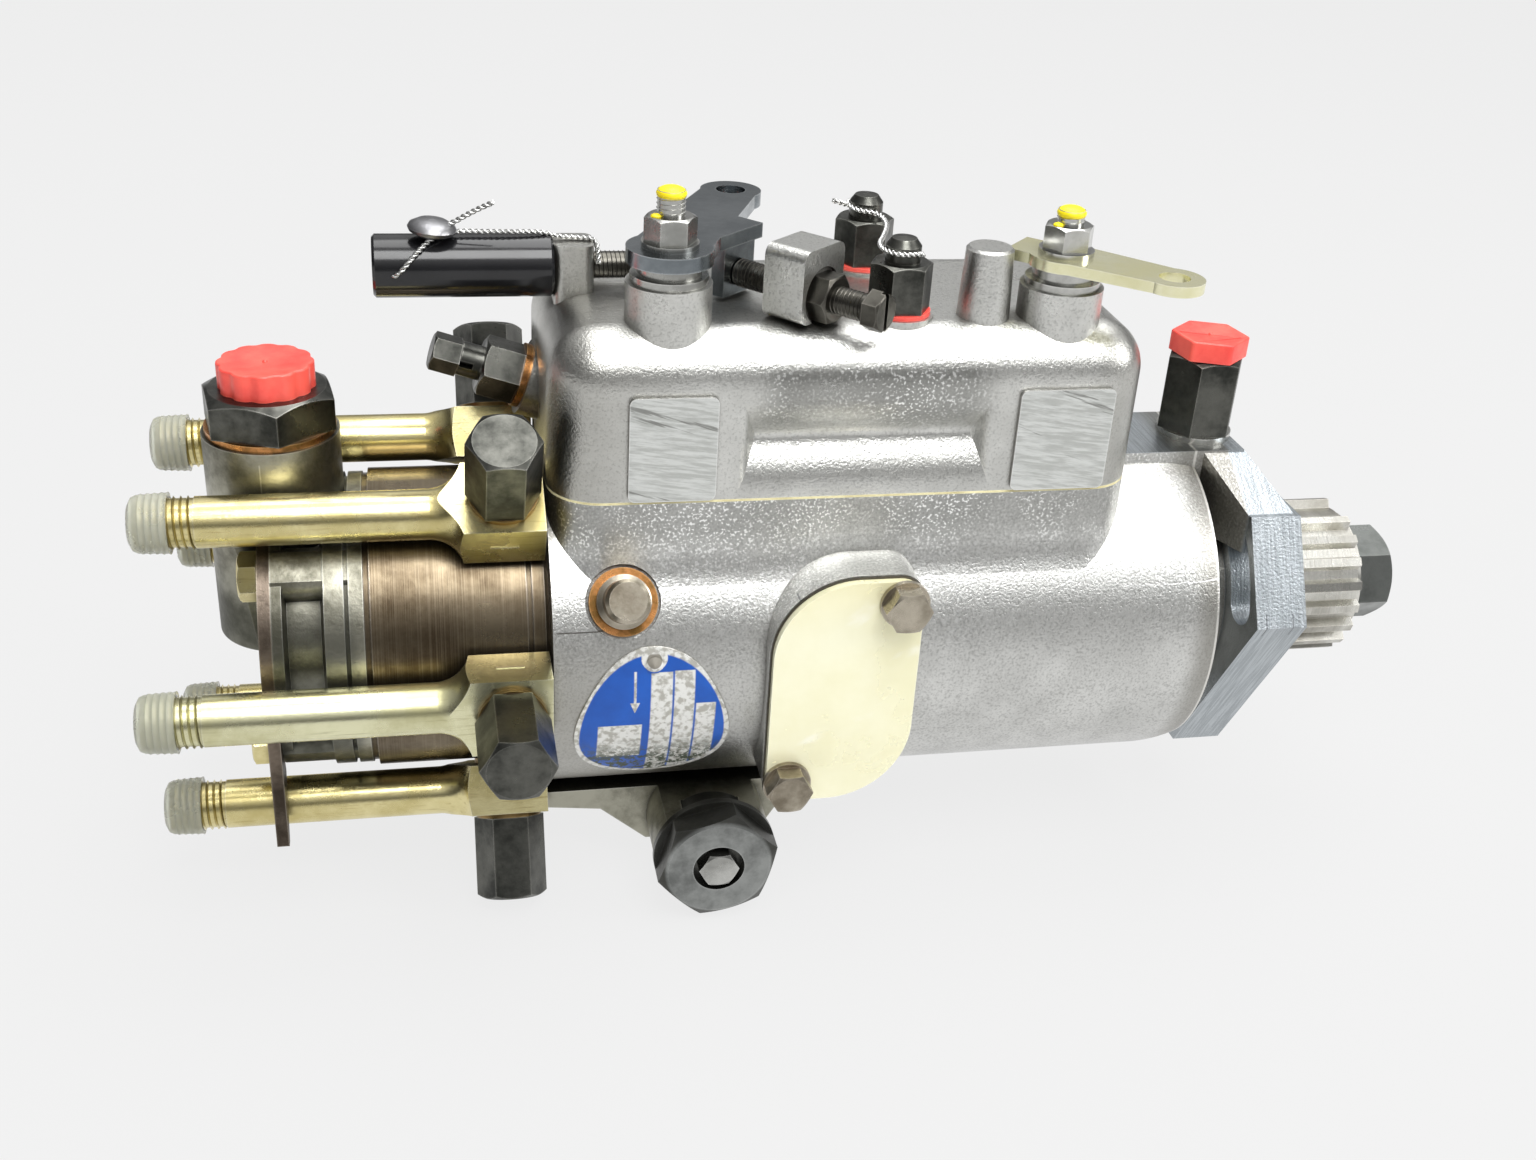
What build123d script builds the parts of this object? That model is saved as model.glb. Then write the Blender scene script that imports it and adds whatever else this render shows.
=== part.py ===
"""Rotary distributor fuel-injection pump for a six-cylinder diesel engine.

Frame: the origin is where the pump axis meets the engine-side face of the mounting flange.
+X runs along the pump axis out to the drive hub, -X to the hydraulic head and its outlets.
+Z runs up through the governor cover and -Y out through the inspection cover.
Angles round the pump axis are counted from +Z towards -Y.
"""
import os
from math import asin, cos, degrees, radians, sin, sqrt

from build123d import *

# ---------------------------------------------------------------- driving dimensions, mm
# Housing casting
housing_length = 182.2
barrel_diameter = 84.0
dome_rise = 1.5
dome_length = 9.0
neck_diameter = 53.0
neck_gap = 8.5
platform_rise = 1.0
platform_blend = 20.0
chamber_diameter = 70.1
chamber_length = 80.0
well_half_width = 20.5

# Mounting flange
flange_thickness = 13.0
flange_side_distance = 32.7
flange_corner_distance = 41.9
slot_radius = 34.5
slot_width = 10.0
slot_sweep = 25.0
spigot_diameter = 46.0
spigot_length = 5.0

# Governor cover
cover_length = 137.0
cover_width = 64.0
cover_height = 37.4
cover_corner = 12.0
cover_shoulder = 11.5
cover_wall = 4.0
cover_spot = 0.8
scoop_depth = 4.5
scoop_ramp = 6.5
scoop_foot = 0.8
throttle_pad_width = 19.5
shut_off_pad_width = 22.5
pad_height = 24.5
pad_proud = 1.0
gasket_thickness = 0.6
cover_screw_inset = 79.0
cover_screw_spread = 34.0
cover_screw_diameter = 6.0
cover_screw_hex = 12.5
cover_screw_head = 10.8
cover_tab_width = 13.0
thin_washer = 0.9

# Control shafts
shaft_offset = 19.0
throttle_inset = 26.7
shut_off_inset = 20.8
control_shaft_diameter = 8.0
lever_seat_diameter = 7.0
control_stud_diameter = 6.0
control_boss_diameter = 19.0
throttle_boss_height = 9.0
shut_off_boss_height = 7.5
control_shaft_depth = 26.0
control_nut_hex = 10.0
control_nut_height = 5.6

# Levers
lever_gap = 4.3
lever_washer = 1.2
throttle_lever_thickness = 3.3
throttle_arm_length = 48.5
throttle_arm_angle = 64.5
throttle_hub_diameter = 19.0
throttle_tip_diameter = 14.5
shut_off_lever_thickness = 2.5
shut_off_arm_length = 25.5
shut_off_arm_angle = -43.0
shut_off_hub_diameter = 17.0
shut_off_tip_diameter = 13.5
shut_off_tail_length = 8.0
lever_hole_diameter = 7.0
web_angle = 43.0
web_radius = 23.0
web_width = 11.0
web_thickness = 3.6
web_depth = 12.2

# Stops and adjusting screws
stop_post_diameter = 11.6
stop_post_height = 16.0
adjuster_diameter = 6.0
idle_screw_length = 39.0
idle_screw_drop = 7.3
idle_lug_start = 12.0
idle_lug_length = 10.5
idle_lug_width = 15.5
idle_lug_round = 2.5
idle_lug_spot = 1.0
idle_lug_height = 11.5
locknut_hex = 10.0
locknut_height = 5.0
max_post_inset = 8.2
max_post_thickness = 9.0
max_post_width = 10.5
max_post_height = 10.8
max_speed_drop = 8.2
sleeve_diameter = 14.0
sleeve_length = 39.5

# Inspection cover
window_width = 35.3
window_height = 59.0
window_round = 20.0
window_corner = 6.5
window_inset = 66.0
window_proud = 2.6
window_gasket = 0.6
window_plate = 1.8
window_rim = 7.0
window_screw_diameter = 5.0
window_screw_hex = 9.5

# Name plate
plate_inset = 22.6
plate_width = 36.0
plate_top_angle = 74.0
plate_middle_angle = 107.5
plate_foot_angle = 131.0
plate_sheet = 0.5
rivet_diameter = 2.5

# Hydraulic head and its locking screws
head_diameter = 71.5
head_overhang = 41.0
head_inside = 27.0
lock_inset = 15.9
lock_thread = 8.0
lock_head = 10.0
lock_seat_depth = 0.8
lock_washer = 15.6
lock_height = 9.3
copper_thickness = 1.5

# Outlets
outlet_count = 6
outlet_first_angle = -30.0
outlet_inset = 9.7
adaptor_width = 19.0
adaptor_length = 18.0
adaptor_depth = 12.0
adaptor_tube = 11.4
adaptor_reach = 69.2
shoulder_length = 7.0
thread_diameter = 11.8
thread_core = 10.7
thread_length = 12.5
tube_bore = 4.0
banjo_bolt_diameter = 10.0
banjo_hex = 14.5
banjo_head = 19.6
banjo_depth = 9.0
banjo_washer = 1.2
banjo_washer_diameter = 15.4
outlet_cap_diameter = 13.6
outlet_cap_length = 8.5

# End plate, inlet and transfer pump
end_plate_depth = 20.0
end_plate_diameter = 70.0
end_screw_radius = 29.5
end_screw_diameter = 6.0
end_screw_hex = 10.0
end_screw_first = 41.0
keep_thickness = 2.8
keep_diameter = 68.0
inlet_inset = 19.0
inlet_boss_diameter = 30.4
inlet_boss_height = 49.8
inlet_hex = 27.0
inlet_hex_height = 8.7
inlet_thread = 20.0
inlet_bore = 11.0
inlet_cap_diameter = 21.0
transfer_recess = 28.0
transfer_rotor_diameter = 24.0
transfer_offset = 1.5
transfer_depth = 7.0

# Vent fitting and leak-off connection
vent_x_gap = 2.8
vent_rise = 14.4
vent_side = 8.0
vent_tilt = 18.0
vent_boss_diameter = 18.0
vent_boss_inside = 7.0
vent_hex = 12.5
vent_hex_length = 9.0
vent_neck = 8.0
vent_neck_length = 5.0
vent_thread = 8.0
vent_screw_hex = 8.0
vent_screw_length = 6.5
vent_screw_thread = 4.0
leak_inset = 17.4
leak_pad_end = 9.0
leak_pad_width = 25.0
leak_pad_length = 37.0
leak_hex = 17.0
leak_hex_height = 19.5
leak_thread = 12.0
leak_thread_length = 9.0
leak_cap_height = 5.0
gusset_run = 17.0

# Advance device
advance_flat_depth = 2.5
advance_hang = 8.5
advance_pad_width = 45.0
advance_foot_length = 26.0
advance_foot_thickness = 4.5
advance_reach = 38.5
advance_body_diameter = 29.0
advance_piston_diameter = 15.0
advance_piston_length = 32.0
advance_stroke = 4.0
advance_cap_thread = 22.0
advance_cap_hex = 26.0
advance_cap_length = 8.0
advance_cap_collar = 30.0
advance_pin_diameter = 9.0

# Drive line
shaft_diameter = 22.0
bush_diameter = 20.0
shaft_tail = 18.0
hub_diameter = 40.5
hub_root = 36.0
hub_length = 24.5
hub_teeth = 20
hub_gap = 0.5
drive_bolt_hex = 22.0
drive_bolt_head = 13.0
drive_bolt_thread = 12.0

# Governor
retainer_diameter = 60.0
retainer_back = 57.0
retainer_length = 26.0
weight_count = 4
weight_width = 18.0
pivot_rise = 7.0
pivot_diameter = 4.0

# Pumping parts
rotor_diameter = 22.0
rotor_head_diameter = 44.0
cam_width = 20.0
cam_low = 27.5
cam_lift = 2.0
plunger_diameter = 6.4
plunger_stroke = 1.5
roller_diameter = 8.0
valve_inset = 14.0
valve_diameter = 7.0

# Clearances
running_fit = 0.05
seat_gap = 0.02
thread_gap = 0.1
clear_gap = 0.3

# ---------------------------------------------------------------- places worked out from them
barrel_radius = barrel_diameter / 2
platform_height = barrel_radius + platform_rise
head_end = -housing_length
head_face = head_end - head_overhang
head_inner = head_end + head_inside
cover_end = head_end + cover_length
cover_middle = head_end + cover_length / 2
cover_base = platform_height + gasket_thickness
cover_top = cover_base + cover_height
cover_screw_x = head_end + cover_screw_inset
cover_inner_half = cover_width / 2 - cover_wall - scoop_depth
throttle_at = Vector(head_end + throttle_inset, -shaft_offset, 0)
shut_off_at = Vector(cover_end - shut_off_inset, -shaft_offset, 0)
throttle_boss_top = cover_top + throttle_boss_height
shut_off_boss_top = cover_top + shut_off_boss_height
throttle_lever_bottom = throttle_boss_top + lever_gap
shut_off_lever_bottom = shut_off_boss_top + lever_gap + clear_gap
max_speed_y = throttle_at.Y + web_radius
max_speed_z = throttle_lever_bottom - max_speed_drop
max_post_x = head_end + max_post_inset
web_out = Vector(cos(radians(web_angle)), sin(radians(web_angle)), 0)
idle_along = Vector(sin(radians(web_angle)), -cos(radians(web_angle)), 0)
idle_tip = (
    throttle_at
    + web_out * web_radius
    + idle_along * (web_thickness / 2 + clear_gap)
    + Vector(0, 0, throttle_lever_bottom - idle_screw_drop)
)
stop_post_at = shut_off_at + Vector(-(control_boss_diameter / 2 + 8.0), 1.0, 0)
outlet_x = head_end - outlet_inset
head_flat = head_diameter / 2 + 0.05
adaptor_inner = head_flat + banjo_washer
adaptor_outer = adaptor_inner + adaptor_depth
outlet_circle = 2 * (adaptor_inner + clear_gap) + adaptor_tube
outlet_angles = [outlet_first_angle + step * 360 / outlet_count for step in range(outlet_count)]
outlet_end = outlet_x - adaptor_length / 2 - adaptor_reach
lock_x = head_end + lock_inset
lock_seat = barrel_radius - lock_seat_depth
lock_angles = [60.0, 240.0]
window_x = head_end + window_inset
window_face = barrel_radius + window_proud
window_back = window_face + window_gasket
window_screws = [
    (side * (window_width / 2 - window_corner + 1.0), side * (window_height / 2 - window_corner + 0.5))
    for side in (1, -1)
]
inlet_x = head_face - inlet_inset
end_back = head_face - end_plate_depth
end_screw_angles = [end_screw_first + step * 90 for step in range(4)]
vent_axis = Vector(-cos(radians(vent_tilt)), 0, sin(radians(vent_tilt)))
vent_seat = Vector(head_end - vent_x_gap, vent_side, cover_base + vent_rise)
leak_at = Vector(-leak_inset, 0, platform_height)
cam_x = head_inner + 2.0 + cam_width / 2
advance_x = cam_x
advance_flat = barrel_radius - advance_flat_depth
advance_drop = advance_flat + advance_hang
advance_z = -advance_drop
valve_x = head_end + valve_inset
retainer_x = -retainer_back
weight_pivot_radius = 26.0
sleeve_flange_x = retainer_x - 6.0
sleeve_end_x = sleeve_flange_x - 25.0
pivot_x = sleeve_end_x - 1.0
pivot_height = platform_height + pivot_rise
flange_corner_angles = [60.0, 180.0, 300.0]


# ---------------------------------------------------------------- helpers
def around(angle, radius, x=0.0):
    """The point at an angle round the pump axis."""
    return Vector(x, -radius * sin(radians(angle)), radius * cos(radians(angle)))


def frame_at(origin, normal, x_dir=None):
    """A plane with its normal along the way a piece points."""
    return Plane(origin=origin, x_dir=x_dir, z_dir=normal)


def rod(origin, direction, length, diameter):
    """A round bar from a point along a direction."""
    bar = Cylinder(diameter / 2, length, align=(Align.CENTER, Align.CENTER, Align.MIN))
    return frame_at(origin, direction) * bar


def washer(origin, direction, thickness, outer, inner):
    """A flat ring on a point, facing a direction."""
    return rod(origin, direction, thickness, outer) - rod(origin, direction, thickness, inner)


def turned(origin, direction, *outline):
    """A solid of revolution on a direction, from (radius, height) points."""
    profile = Plane.XZ * make_face(Polyline(*outline, close=True))
    return frame_at(origin, direction) * revolve(profile, Axis.Z)


def turned_x(*outline):
    """A solid of revolution round the pump axis, from (x, radius) points."""
    return revolve(Plane.XZ * make_face(Polyline(*outline, close=True)), Axis.X)


def ring_x(x_from, x_to, outer, inner=0.0):
    """A disc or ring on the pump axis, by its diameters."""
    return turned_x((x_from, inner / 2), (x_to, inner / 2), (x_to, outer / 2), (x_from, outer / 2))


def hex_head(origin, direction, length, across_flats, x_dir=None):
    """A hexagon whose outer corners are turned off at 30 degrees."""
    outline = RegularPolygon(across_flats / 2, 6, major_radius=False)
    bar = frame_at(origin, direction, x_dir) * extrude(outline, length)
    corner = across_flats / sqrt(3)
    face = across_flats * 0.475
    bevel = (corner - face) * 0.58
    cone = turned(origin, direction, (0, 0), (corner, 0), (corner, length - bevel), (face, length),
                  (0, length))
    return bar & cone


def box(x_from, x_to, y_from, y_to, z_from, z_to):
    """A block by its six faces."""
    block = Box(x_to - x_from, y_to - y_from, z_to - z_from, align=(Align.MIN, Align.MIN, Align.MIN))
    return Pos(x_from, y_from, z_from) * block


def rounded_block(x_from, x_to, half_width, corner, z_from, z_to):
    """An upright block whose plan has rounded corners."""
    outline = RectangleRounded(x_to - x_from, 2 * half_width, corner)
    return Pos((x_from + x_to) / 2, 0, z_from) * extrude(outline, z_to - z_from)


# ---------------------------------------------------------------- pump housing
def flange_plate():
    """A triangular flange with its corners cut square across and a curved slot in each."""
    step = (flange_corner_distance - flange_side_distance * cos(radians(60))) / sin(radians(60))
    reach = sqrt(flange_side_distance**2 + step**2)
    half_angle = 60 - degrees(asin(step / reach))
    points = []
    for middle in flange_corner_angles:
        for side in (-half_angle, half_angle):
            spot = around(middle + side, reach)
            points.append((spot.Y, spot.Z))
    outline = make_face(Polyline(*points, close=True))
    plate = Pos(-flange_thickness, 0, 0) * (Plane.YZ * extrude(outline, flange_thickness))
    ends = [around(side * slot_sweep / 2, slot_radius) for side in (-1, 1)]
    arc = ThreePointArc((ends[0].Y, ends[0].Z), (0, slot_radius), (ends[1].Y, ends[1].Z))
    slot = Plane.YZ * extrude(SlotArc(arc, slot_width), 3 * flange_thickness, both=True)
    for angle in flange_corner_angles:
        plate -= Rot(angle, 0, 0) * slot
    return plate


def leak_pad():
    """The raised flat behind the flange, with a sloping gusset down to each flange corner."""
    start = -leak_pad_length - leak_pad_end
    stop = -leak_pad_end
    half = leak_pad_width / 2
    foot = neck_diameter / 2 - 4
    pad = box(start, stop, -half, half, foot, platform_height)
    corner_z = flange_side_distance - clear_gap
    for side in (-1, 1):
        upper = Plane(origin=(0, side * (half - 1), 0), x_dir=(1, 0, 0), z_dir=(0, side, 0))
        lower = upper.offset(gusset_run)
        up = -side
        near = [(stop - 11, up * foot), (stop, up * foot), (stop, up * platform_height),
                (stop - 11, up * platform_height)]
        far = [(-flange_thickness, up * foot), (-1, up * foot), (-1, up * corner_z),
               (-flange_thickness, up * corner_z)]
        upper_face = upper * make_face(Polyline(*near, close=True))
        lower_face = lower * make_face(Polyline(*far, close=True))
        pad += loft([upper_face, lower_face], ruled=True)
    return pad


def platform():
    """The raised top that carries the governor cover and flares down into the barrel."""
    half = cover_width / 2
    # The blend's centre sits so that its arc runs out just inside the barrel's round
    centres = barrel_radius + platform_blend - seat_gap
    blend_z = sqrt(centres**2 - (half + platform_blend) ** 2)
    foot = blend_z - platform_blend
    touch = blend_z * barrel_radius / centres
    block = rounded_block(head_end, cover_end, half, cover_corner, foot - 5, platform_height)
    reach = half + platform_blend + 5
    block += box(head_end - reach, cover_end + reach, -reach, reach, foot - 5, foot)
    creases = [
        edge for edge in block.edges()
        if abs(edge.center().Z - foot) < 0.01 and abs(edge.center().Y) < half + 1
        and head_end - 1 < edge.center().X < cover_end + 1
    ]
    block = fillet(creases, platform_blend)
    return block & box(head_end, cover_end + reach, -reach, reach, touch, platform_height)


def leaf_outline(margin):
    """The inspection cover's outline: two wide rounds, and two tight ones at the screws."""
    half_w = window_width / 2 + margin
    half_h = window_height / 2 + margin
    wide = window_round + margin
    tight = max(window_corner + margin, window_corner / 3)
    outline = Rectangle(2 * half_w, 2 * half_h)
    for side in (1, -1):
        block = Pos(-side * (half_w - wide / 2), side * (half_h - wide / 2)) * Rectangle(wide, wide)
        disc = Pos(-side * (half_w - wide), side * (half_h - wide)) * Circle(wide)
        outline -= block - disc
        block = Pos(side * (half_w - tight / 2), side * (half_h - tight / 2)) * Rectangle(tight, tight)
        disc = Pos(side * (half_w - tight), side * (half_h - tight)) * Circle(tight)
        outline -= block - disc
    return outline


def on_window(distance, shape):
    """Places a shape drawn in the window's plane at a distance in front of the pump axis."""
    return Plane(origin=(window_x, -distance, 0), x_dir=(1, 0, 0), z_dir=(0, -1, 0)) * shape


def window_holes(distance, depth):
    """The two screw holes of the inspection cover."""
    hole = extrude(Circle(window_screw_diameter / 2 + thread_gap), depth)
    holes = [on_window(distance, Pos(across, up, 0) * hole) for across, up in window_screws]
    return holes[0] + holes[1]


def screw_tabs(z_from, z_to):
    """Material round the two cover screws, joined to the side walls."""
    tabs = Part()
    for side in (1, -1):
        spot = side * cover_screw_spread / 2
        wall = side * (cover_inner_half + 1)
        tabs += rod((cover_screw_x, spot, z_from), (0, 0, 1), z_to - z_from, cover_tab_width)
        half = cover_tab_width / 2
        tabs += box(cover_screw_x - half, cover_screw_x + half, min(spot, wall), max(spot, wall), z_from,
                    z_to)
    return tabs


def cover_screw_holes(z_from, z_to):
    """The clearance holes of the two cover screws."""
    holes = Part()
    for side in (1, -1):
        spot = (cover_screw_x, side * cover_screw_spread / 2, z_from)
        holes += rod(spot, (0, 0, 1), z_to - z_from, cover_screw_diameter + 2 * thread_gap)
    return holes


def pivot_ears():
    """Two ears inside the well that carry the governor arm's pin."""
    ears = Part()
    for side in (1, -1):
        edges = sorted((side * (well_half_width + 0.5), side * (well_half_width - 4)))
        ear = box(pivot_x - 4, pivot_x + 4, edges[0], edges[1], platform_height - 10, pivot_height)
        ear += rod((pivot_x, edges[0], pivot_height), (0, 1, 0), edges[1] - edges[0], 8)
        ears += ear
    ears -= rod((pivot_x, -30, pivot_height), (0, 1, 0), 60, pivot_diameter + 2 * running_fit)
    return ears


def build_housing():
    neck_start = -flange_thickness - neck_gap
    dome_low = barrel_radius - dome_rise
    outer = Polyline((head_end, 0), (head_end, barrel_radius), (neck_start - dome_length, barrel_radius))
    dome = ThreePointArc(
        (neck_start - dome_length, barrel_radius),
        (neck_start - dome_length / 2, barrel_radius - dome_rise * 0.3),
        (neck_start, dome_low),
    )
    neck = Polyline(
        (neck_start, dome_low), (neck_start, neck_diameter / 2), (-flange_thickness, neck_diameter / 2),
        (-flange_thickness, 0), (head_end, 0),
    )
    body = revolve(Plane.XZ * make_face(outer + dome + neck), Axis.X)
    body += flange_plate()
    body += ring_x(-flange_thickness, spigot_length, spigot_diameter)
    body += leak_pad()
    body += platform()
    boss_start = barrel_radius / 2
    body += on_window(boss_start, extrude(leaf_outline(0), window_face - boss_start))
    # Flat under the head end for the advance device
    flat_half = advance_body_diameter / 2 + 22
    body -= box(head_end - 1, advance_x + flat_half, -30, 30, -barrel_radius - 1, -advance_flat)
    # Bores for the head, the cam and governor chamber, and the shaft
    body -= ring_x(head_end - 1, head_inner, head_diameter + 2 * running_fit)
    chamber_end = head_inner + chamber_length
    shaft_r = bush_diameter / 2 + running_fit
    body -= turned_x(
        (head_inner - 0.5, 0), (head_inner - 0.5, chamber_diameter / 2), (chamber_end, chamber_diameter / 2),
        (retainer_x + 6, retainer_diameter / 2 + 2), (retainer_x + 15, spigot_diameter / 2 - 3),
        (retainer_x + 22, shaft_r), (spigot_length + 1, shaft_r), (spigot_length + 1, 0),
    )
    # Well up into the governor cover
    body -= rounded_block(head_end + 6, cover_end - 8, well_half_width, 8, 14, platform_height + 1)
    inside = screw_tabs(platform_height - 12, platform_height) + pivot_ears()
    body += inside - ring_x(head_inner - 0.5, chamber_end, chamber_diameter)
    body -= cover_screw_holes(platform_height - 14, platform_height + 1)
    # Window behind the inspection cover
    body -= on_window(22, extrude(leaf_outline(-window_rim), 30))
    body -= window_holes(window_face - 9, 12)
    # Locking screws, advance pin slot and leak-off port
    for angle in lock_angles:
        out = around(angle, 1)
        body -= rod(around(angle, 30, lock_x), out, 20, lock_thread + 2 * thread_gap)
        body -= rod(around(angle, lock_seat, lock_x), out, 20, lock_washer + 1.5)
    slot_half = advance_pin_diameter / 2 + 1.5
    body -= box(advance_x - slot_half, advance_x + slot_half, -11, 11, -50, -30)
    depth = leak_thread_length + 1
    body -= rod(leak_at - Vector(0, 0, depth), (0, 0, 1), depth + 1, leak_thread + 2 * thread_gap)
    return body


# ---------------------------------------------------------------- governor cover
def scoop(x_from, x_to, side):
    """The soft-edged hollow in the cover's side between its two pads."""
    wall = cover_width / 2
    low = cover_base + scoop_foot
    high = cover_base + pad_height + 1
    floor = wall - scoop_depth
    outside = wall + 2
    dip = Spline((wall, low), (floor, (low + high) / 2), (wall, high), tangents=((0, 1), (0, 1)))
    section = make_face(dip + Polyline((wall, high), (outside, high), (outside, low), (wall, low)))
    deep = floor - 0.5
    ramp_in = Spline((x_from, wall), (x_from + scoop_ramp, deep), tangents=((1, 0), (1, 0)))
    ramp_out = Spline((x_to - scoop_ramp, deep), (x_to, wall), tangents=((1, 0), (1, 0)))
    level = Line((x_from + scoop_ramp, deep), (x_to - scoop_ramp, deep))
    rim = Polyline((x_to, wall), (x_to, outside), (x_from, outside), (x_from, wall))
    plan = make_face(ramp_in + level + ramp_out + rim)
    hollow = Pos(x_from, 0, 0) * (Plane.YZ * extrude(section, x_to - x_from))
    hollow &= Pos(0, 0, low) * extrude(plan, high - low)
    return hollow if side > 0 else mirror(hollow, Plane.XZ)


def idle_lug():
    """The upright lug of the idle screw, spot-faced for the locknut."""
    start = idle_tip + idle_along * idle_lug_start
    face = Plane(origin=start, x_dir=(idle_along.Y, -idle_along.X, 0), z_dir=idle_along)
    rise = cover_top + idle_lug_height - idle_tip.Z
    drop = idle_tip.Z - cover_top + 5
    outline = Pos(0, (rise - drop) / 2) * RectangleRounded(idle_lug_width, rise + drop, idle_lug_round)
    lug = face * extrude(outline, idle_lug_length)
    lug -= rod(start - idle_along, idle_along, idle_lug_length + 2, adjuster_diameter + 2 * thread_gap)
    spot = start + idle_along * (idle_lug_length - idle_lug_spot)
    return lug - rod(spot, idle_along, idle_lug_spot + 1, locknut_hex + 3)


def build_cover():
    shell = rounded_block(head_end, cover_end, cover_width / 2, cover_corner, cover_base, cover_top)
    shell = fillet(shell.faces().sort_by(Axis.Z)[-1].edges(), cover_shoulder)
    scoop_start = throttle_at.X + throttle_pad_width / 2 + 4.5
    scoop_stop = shut_off_at.X - shut_off_pad_width / 2 - 4.5
    for side in (1, -1):
        shell -= scoop(scoop_start, scoop_stop, side)
    for shaft, pad_width in ((throttle_at, throttle_pad_width), (shut_off_at, shut_off_pad_width)):
        pad = RectangleRounded(pad_width, pad_height, 1.6)
        face = Plane(origin=(shaft.X, -cover_width / 2 - pad_proud, cover_base + pad_height / 2 + clear_gap),
                     x_dir=(1, 0, 0), z_dir=(0, 1, 0))
        shell += face * extrude(pad, cover_wall + 4)
    boss_foot = cover_top - 13
    for shaft, boss_top in ((throttle_at, throttle_boss_top), (shut_off_at, shut_off_boss_top)):
        foot = (shaft.X, shaft.Y, boss_foot)
        shell += rod(foot, (0, 0, 1), boss_top - boss_foot, control_boss_diameter)
    post_foot = stop_post_at + Vector(0, 0, cover_top - 4)
    post_r = stop_post_diameter / 2
    shell += turned(post_foot, (0, 0, 1), (0, 0), (post_r + 0.4, 0), (post_r - 0.4, stop_post_height + 3.4),
                    (post_r - 1, stop_post_height + 4), (0, stop_post_height + 4))
    max_post = extrude(RectangleRounded(max_post_thickness, max_post_width, 2.2), 9 + max_post_height)
    shell += Pos(max_post_x, max_speed_y, cover_top - 9) * max_post
    shell += idle_lug()
    shell += rod(vent_seat - vent_axis * vent_boss_inside, vent_axis, vent_boss_inside, vent_boss_diameter)
    for side in (1, -1):
        foot = (cover_screw_x, side * cover_screw_spread / 2, cover_top - 6)
        shell += rod(foot, (0, 0, 1), 6 + cover_spot, 16)
    # Inside
    roof = cover_top - cover_wall - 1
    hollow = rounded_block(head_end + cover_wall + 1, cover_end - cover_wall, cover_inner_half,
                           cover_corner - cover_wall, cover_base - 8, roof)
    hollow = fillet(hollow.faces().sort_by(Axis.Z)[-1].edges(), cover_shoulder - cover_wall)
    shell -= hollow
    shell += screw_tabs(cover_base, roof + 1)
    shell -= cover_screw_holes(cover_base - 1, cover_top + 3)
    guide_bottom = cover_top - 15
    for shaft in (throttle_at, shut_off_at):
        shell += rod((shaft.X, shaft.Y, guide_bottom), (0, 0, 1), 12, control_shaft_diameter + 6)
        bore = control_shaft_diameter + 2 * running_fit
        shell -= rod((shaft.X, shaft.Y, guide_bottom - 1), (0, 0, 1), 60, bore)
    shell -= rod(vent_seat - vent_axis * (vent_boss_inside + 6), vent_axis, vent_boss_inside + 7,
                 vent_thread + 2 * thread_gap)
    shell -= rod((max_post_x - 10, max_speed_y, max_speed_z), (1, 0, 0), 20,
                 adjuster_diameter + 2 * thread_gap)
    return shell


def build_cover_gasket():
    outer = rounded_block(head_end, cover_end, cover_width / 2, cover_corner, platform_height, cover_base)
    inner = rounded_block(head_end + cover_wall + 1, cover_end - cover_wall, cover_inner_half,
                          cover_corner - cover_wall, platform_height - 1, cover_base + 1)
    ring = outer - inner
    ring += screw_tabs(platform_height, cover_base)
    return ring - cover_screw_holes(platform_height - 1, cover_base + 1)


def build_cover_screws():
    """Tall hexagon screws with a domed neck, cross-drilled for the locking wire."""
    screws = Part()
    for side in (1, -1):
        spot = Vector(cover_screw_x, side * cover_screw_spread / 2, cover_top + cover_spot + thin_washer)
        screw = hex_head(spot, (0, 0, 1), cover_screw_head, cover_screw_hex)
        neck = turned(spot, (0, 0, 1), (0, cover_screw_head - 1), (4, cover_screw_head - 1),
                      (4, cover_screw_head + 3.6),
                      (2.8, cover_screw_head + 5.2), (0, cover_screw_head + 5.6))
        neck -= rod(spot + Vector(-8, 0, cover_screw_head + 2.4), (1, 0, 0), 16, 1.5)
        shank = cover_height + 11
        screw += rod(spot - Vector(0, 0, shank), (0, 0, 1), shank + 1, cover_screw_diameter)
        screws += screw + neck
    return screws


def build_cover_washers():
    rings = Part()
    for side in (1, -1):
        spot = (cover_screw_x, side * cover_screw_spread / 2, cover_top + cover_spot)
        rings += washer(spot, (0, 0, 1), thin_washer, cover_screw_hex + 2,
                        cover_screw_diameter + 2 * thread_gap)
    return rings


# ---------------------------------------------------------------- inspection cover and name plate
def build_window_gasket():
    sheet = on_window(window_face, extrude(leaf_outline(-0.3), window_gasket))
    sheet -= on_window(window_face - 1, extrude(leaf_outline(-window_rim), 4))
    return sheet - window_holes(window_face - 1, 4)


def build_window_cover():
    sheet = on_window(window_back, extrude(leaf_outline(-0.6), window_plate))
    return sheet - window_holes(window_face - 1, 8)


def build_window_screws():
    screws = Part()
    out = Vector(0, -1, 0)
    for across, up in window_screws:
        seat = Vector(window_x + across, -window_back - window_plate, up)
        screws += rod(seat, out, 1.2, window_screw_hex + 2.0)
        screws += hex_head(seat + out * 1.0, out, 4.6, window_screw_hex, x_dir=(1, 0, 0))
        screws += rod(seat - out * 9, out, 9.5, window_screw_diameter)
    return screws


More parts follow.
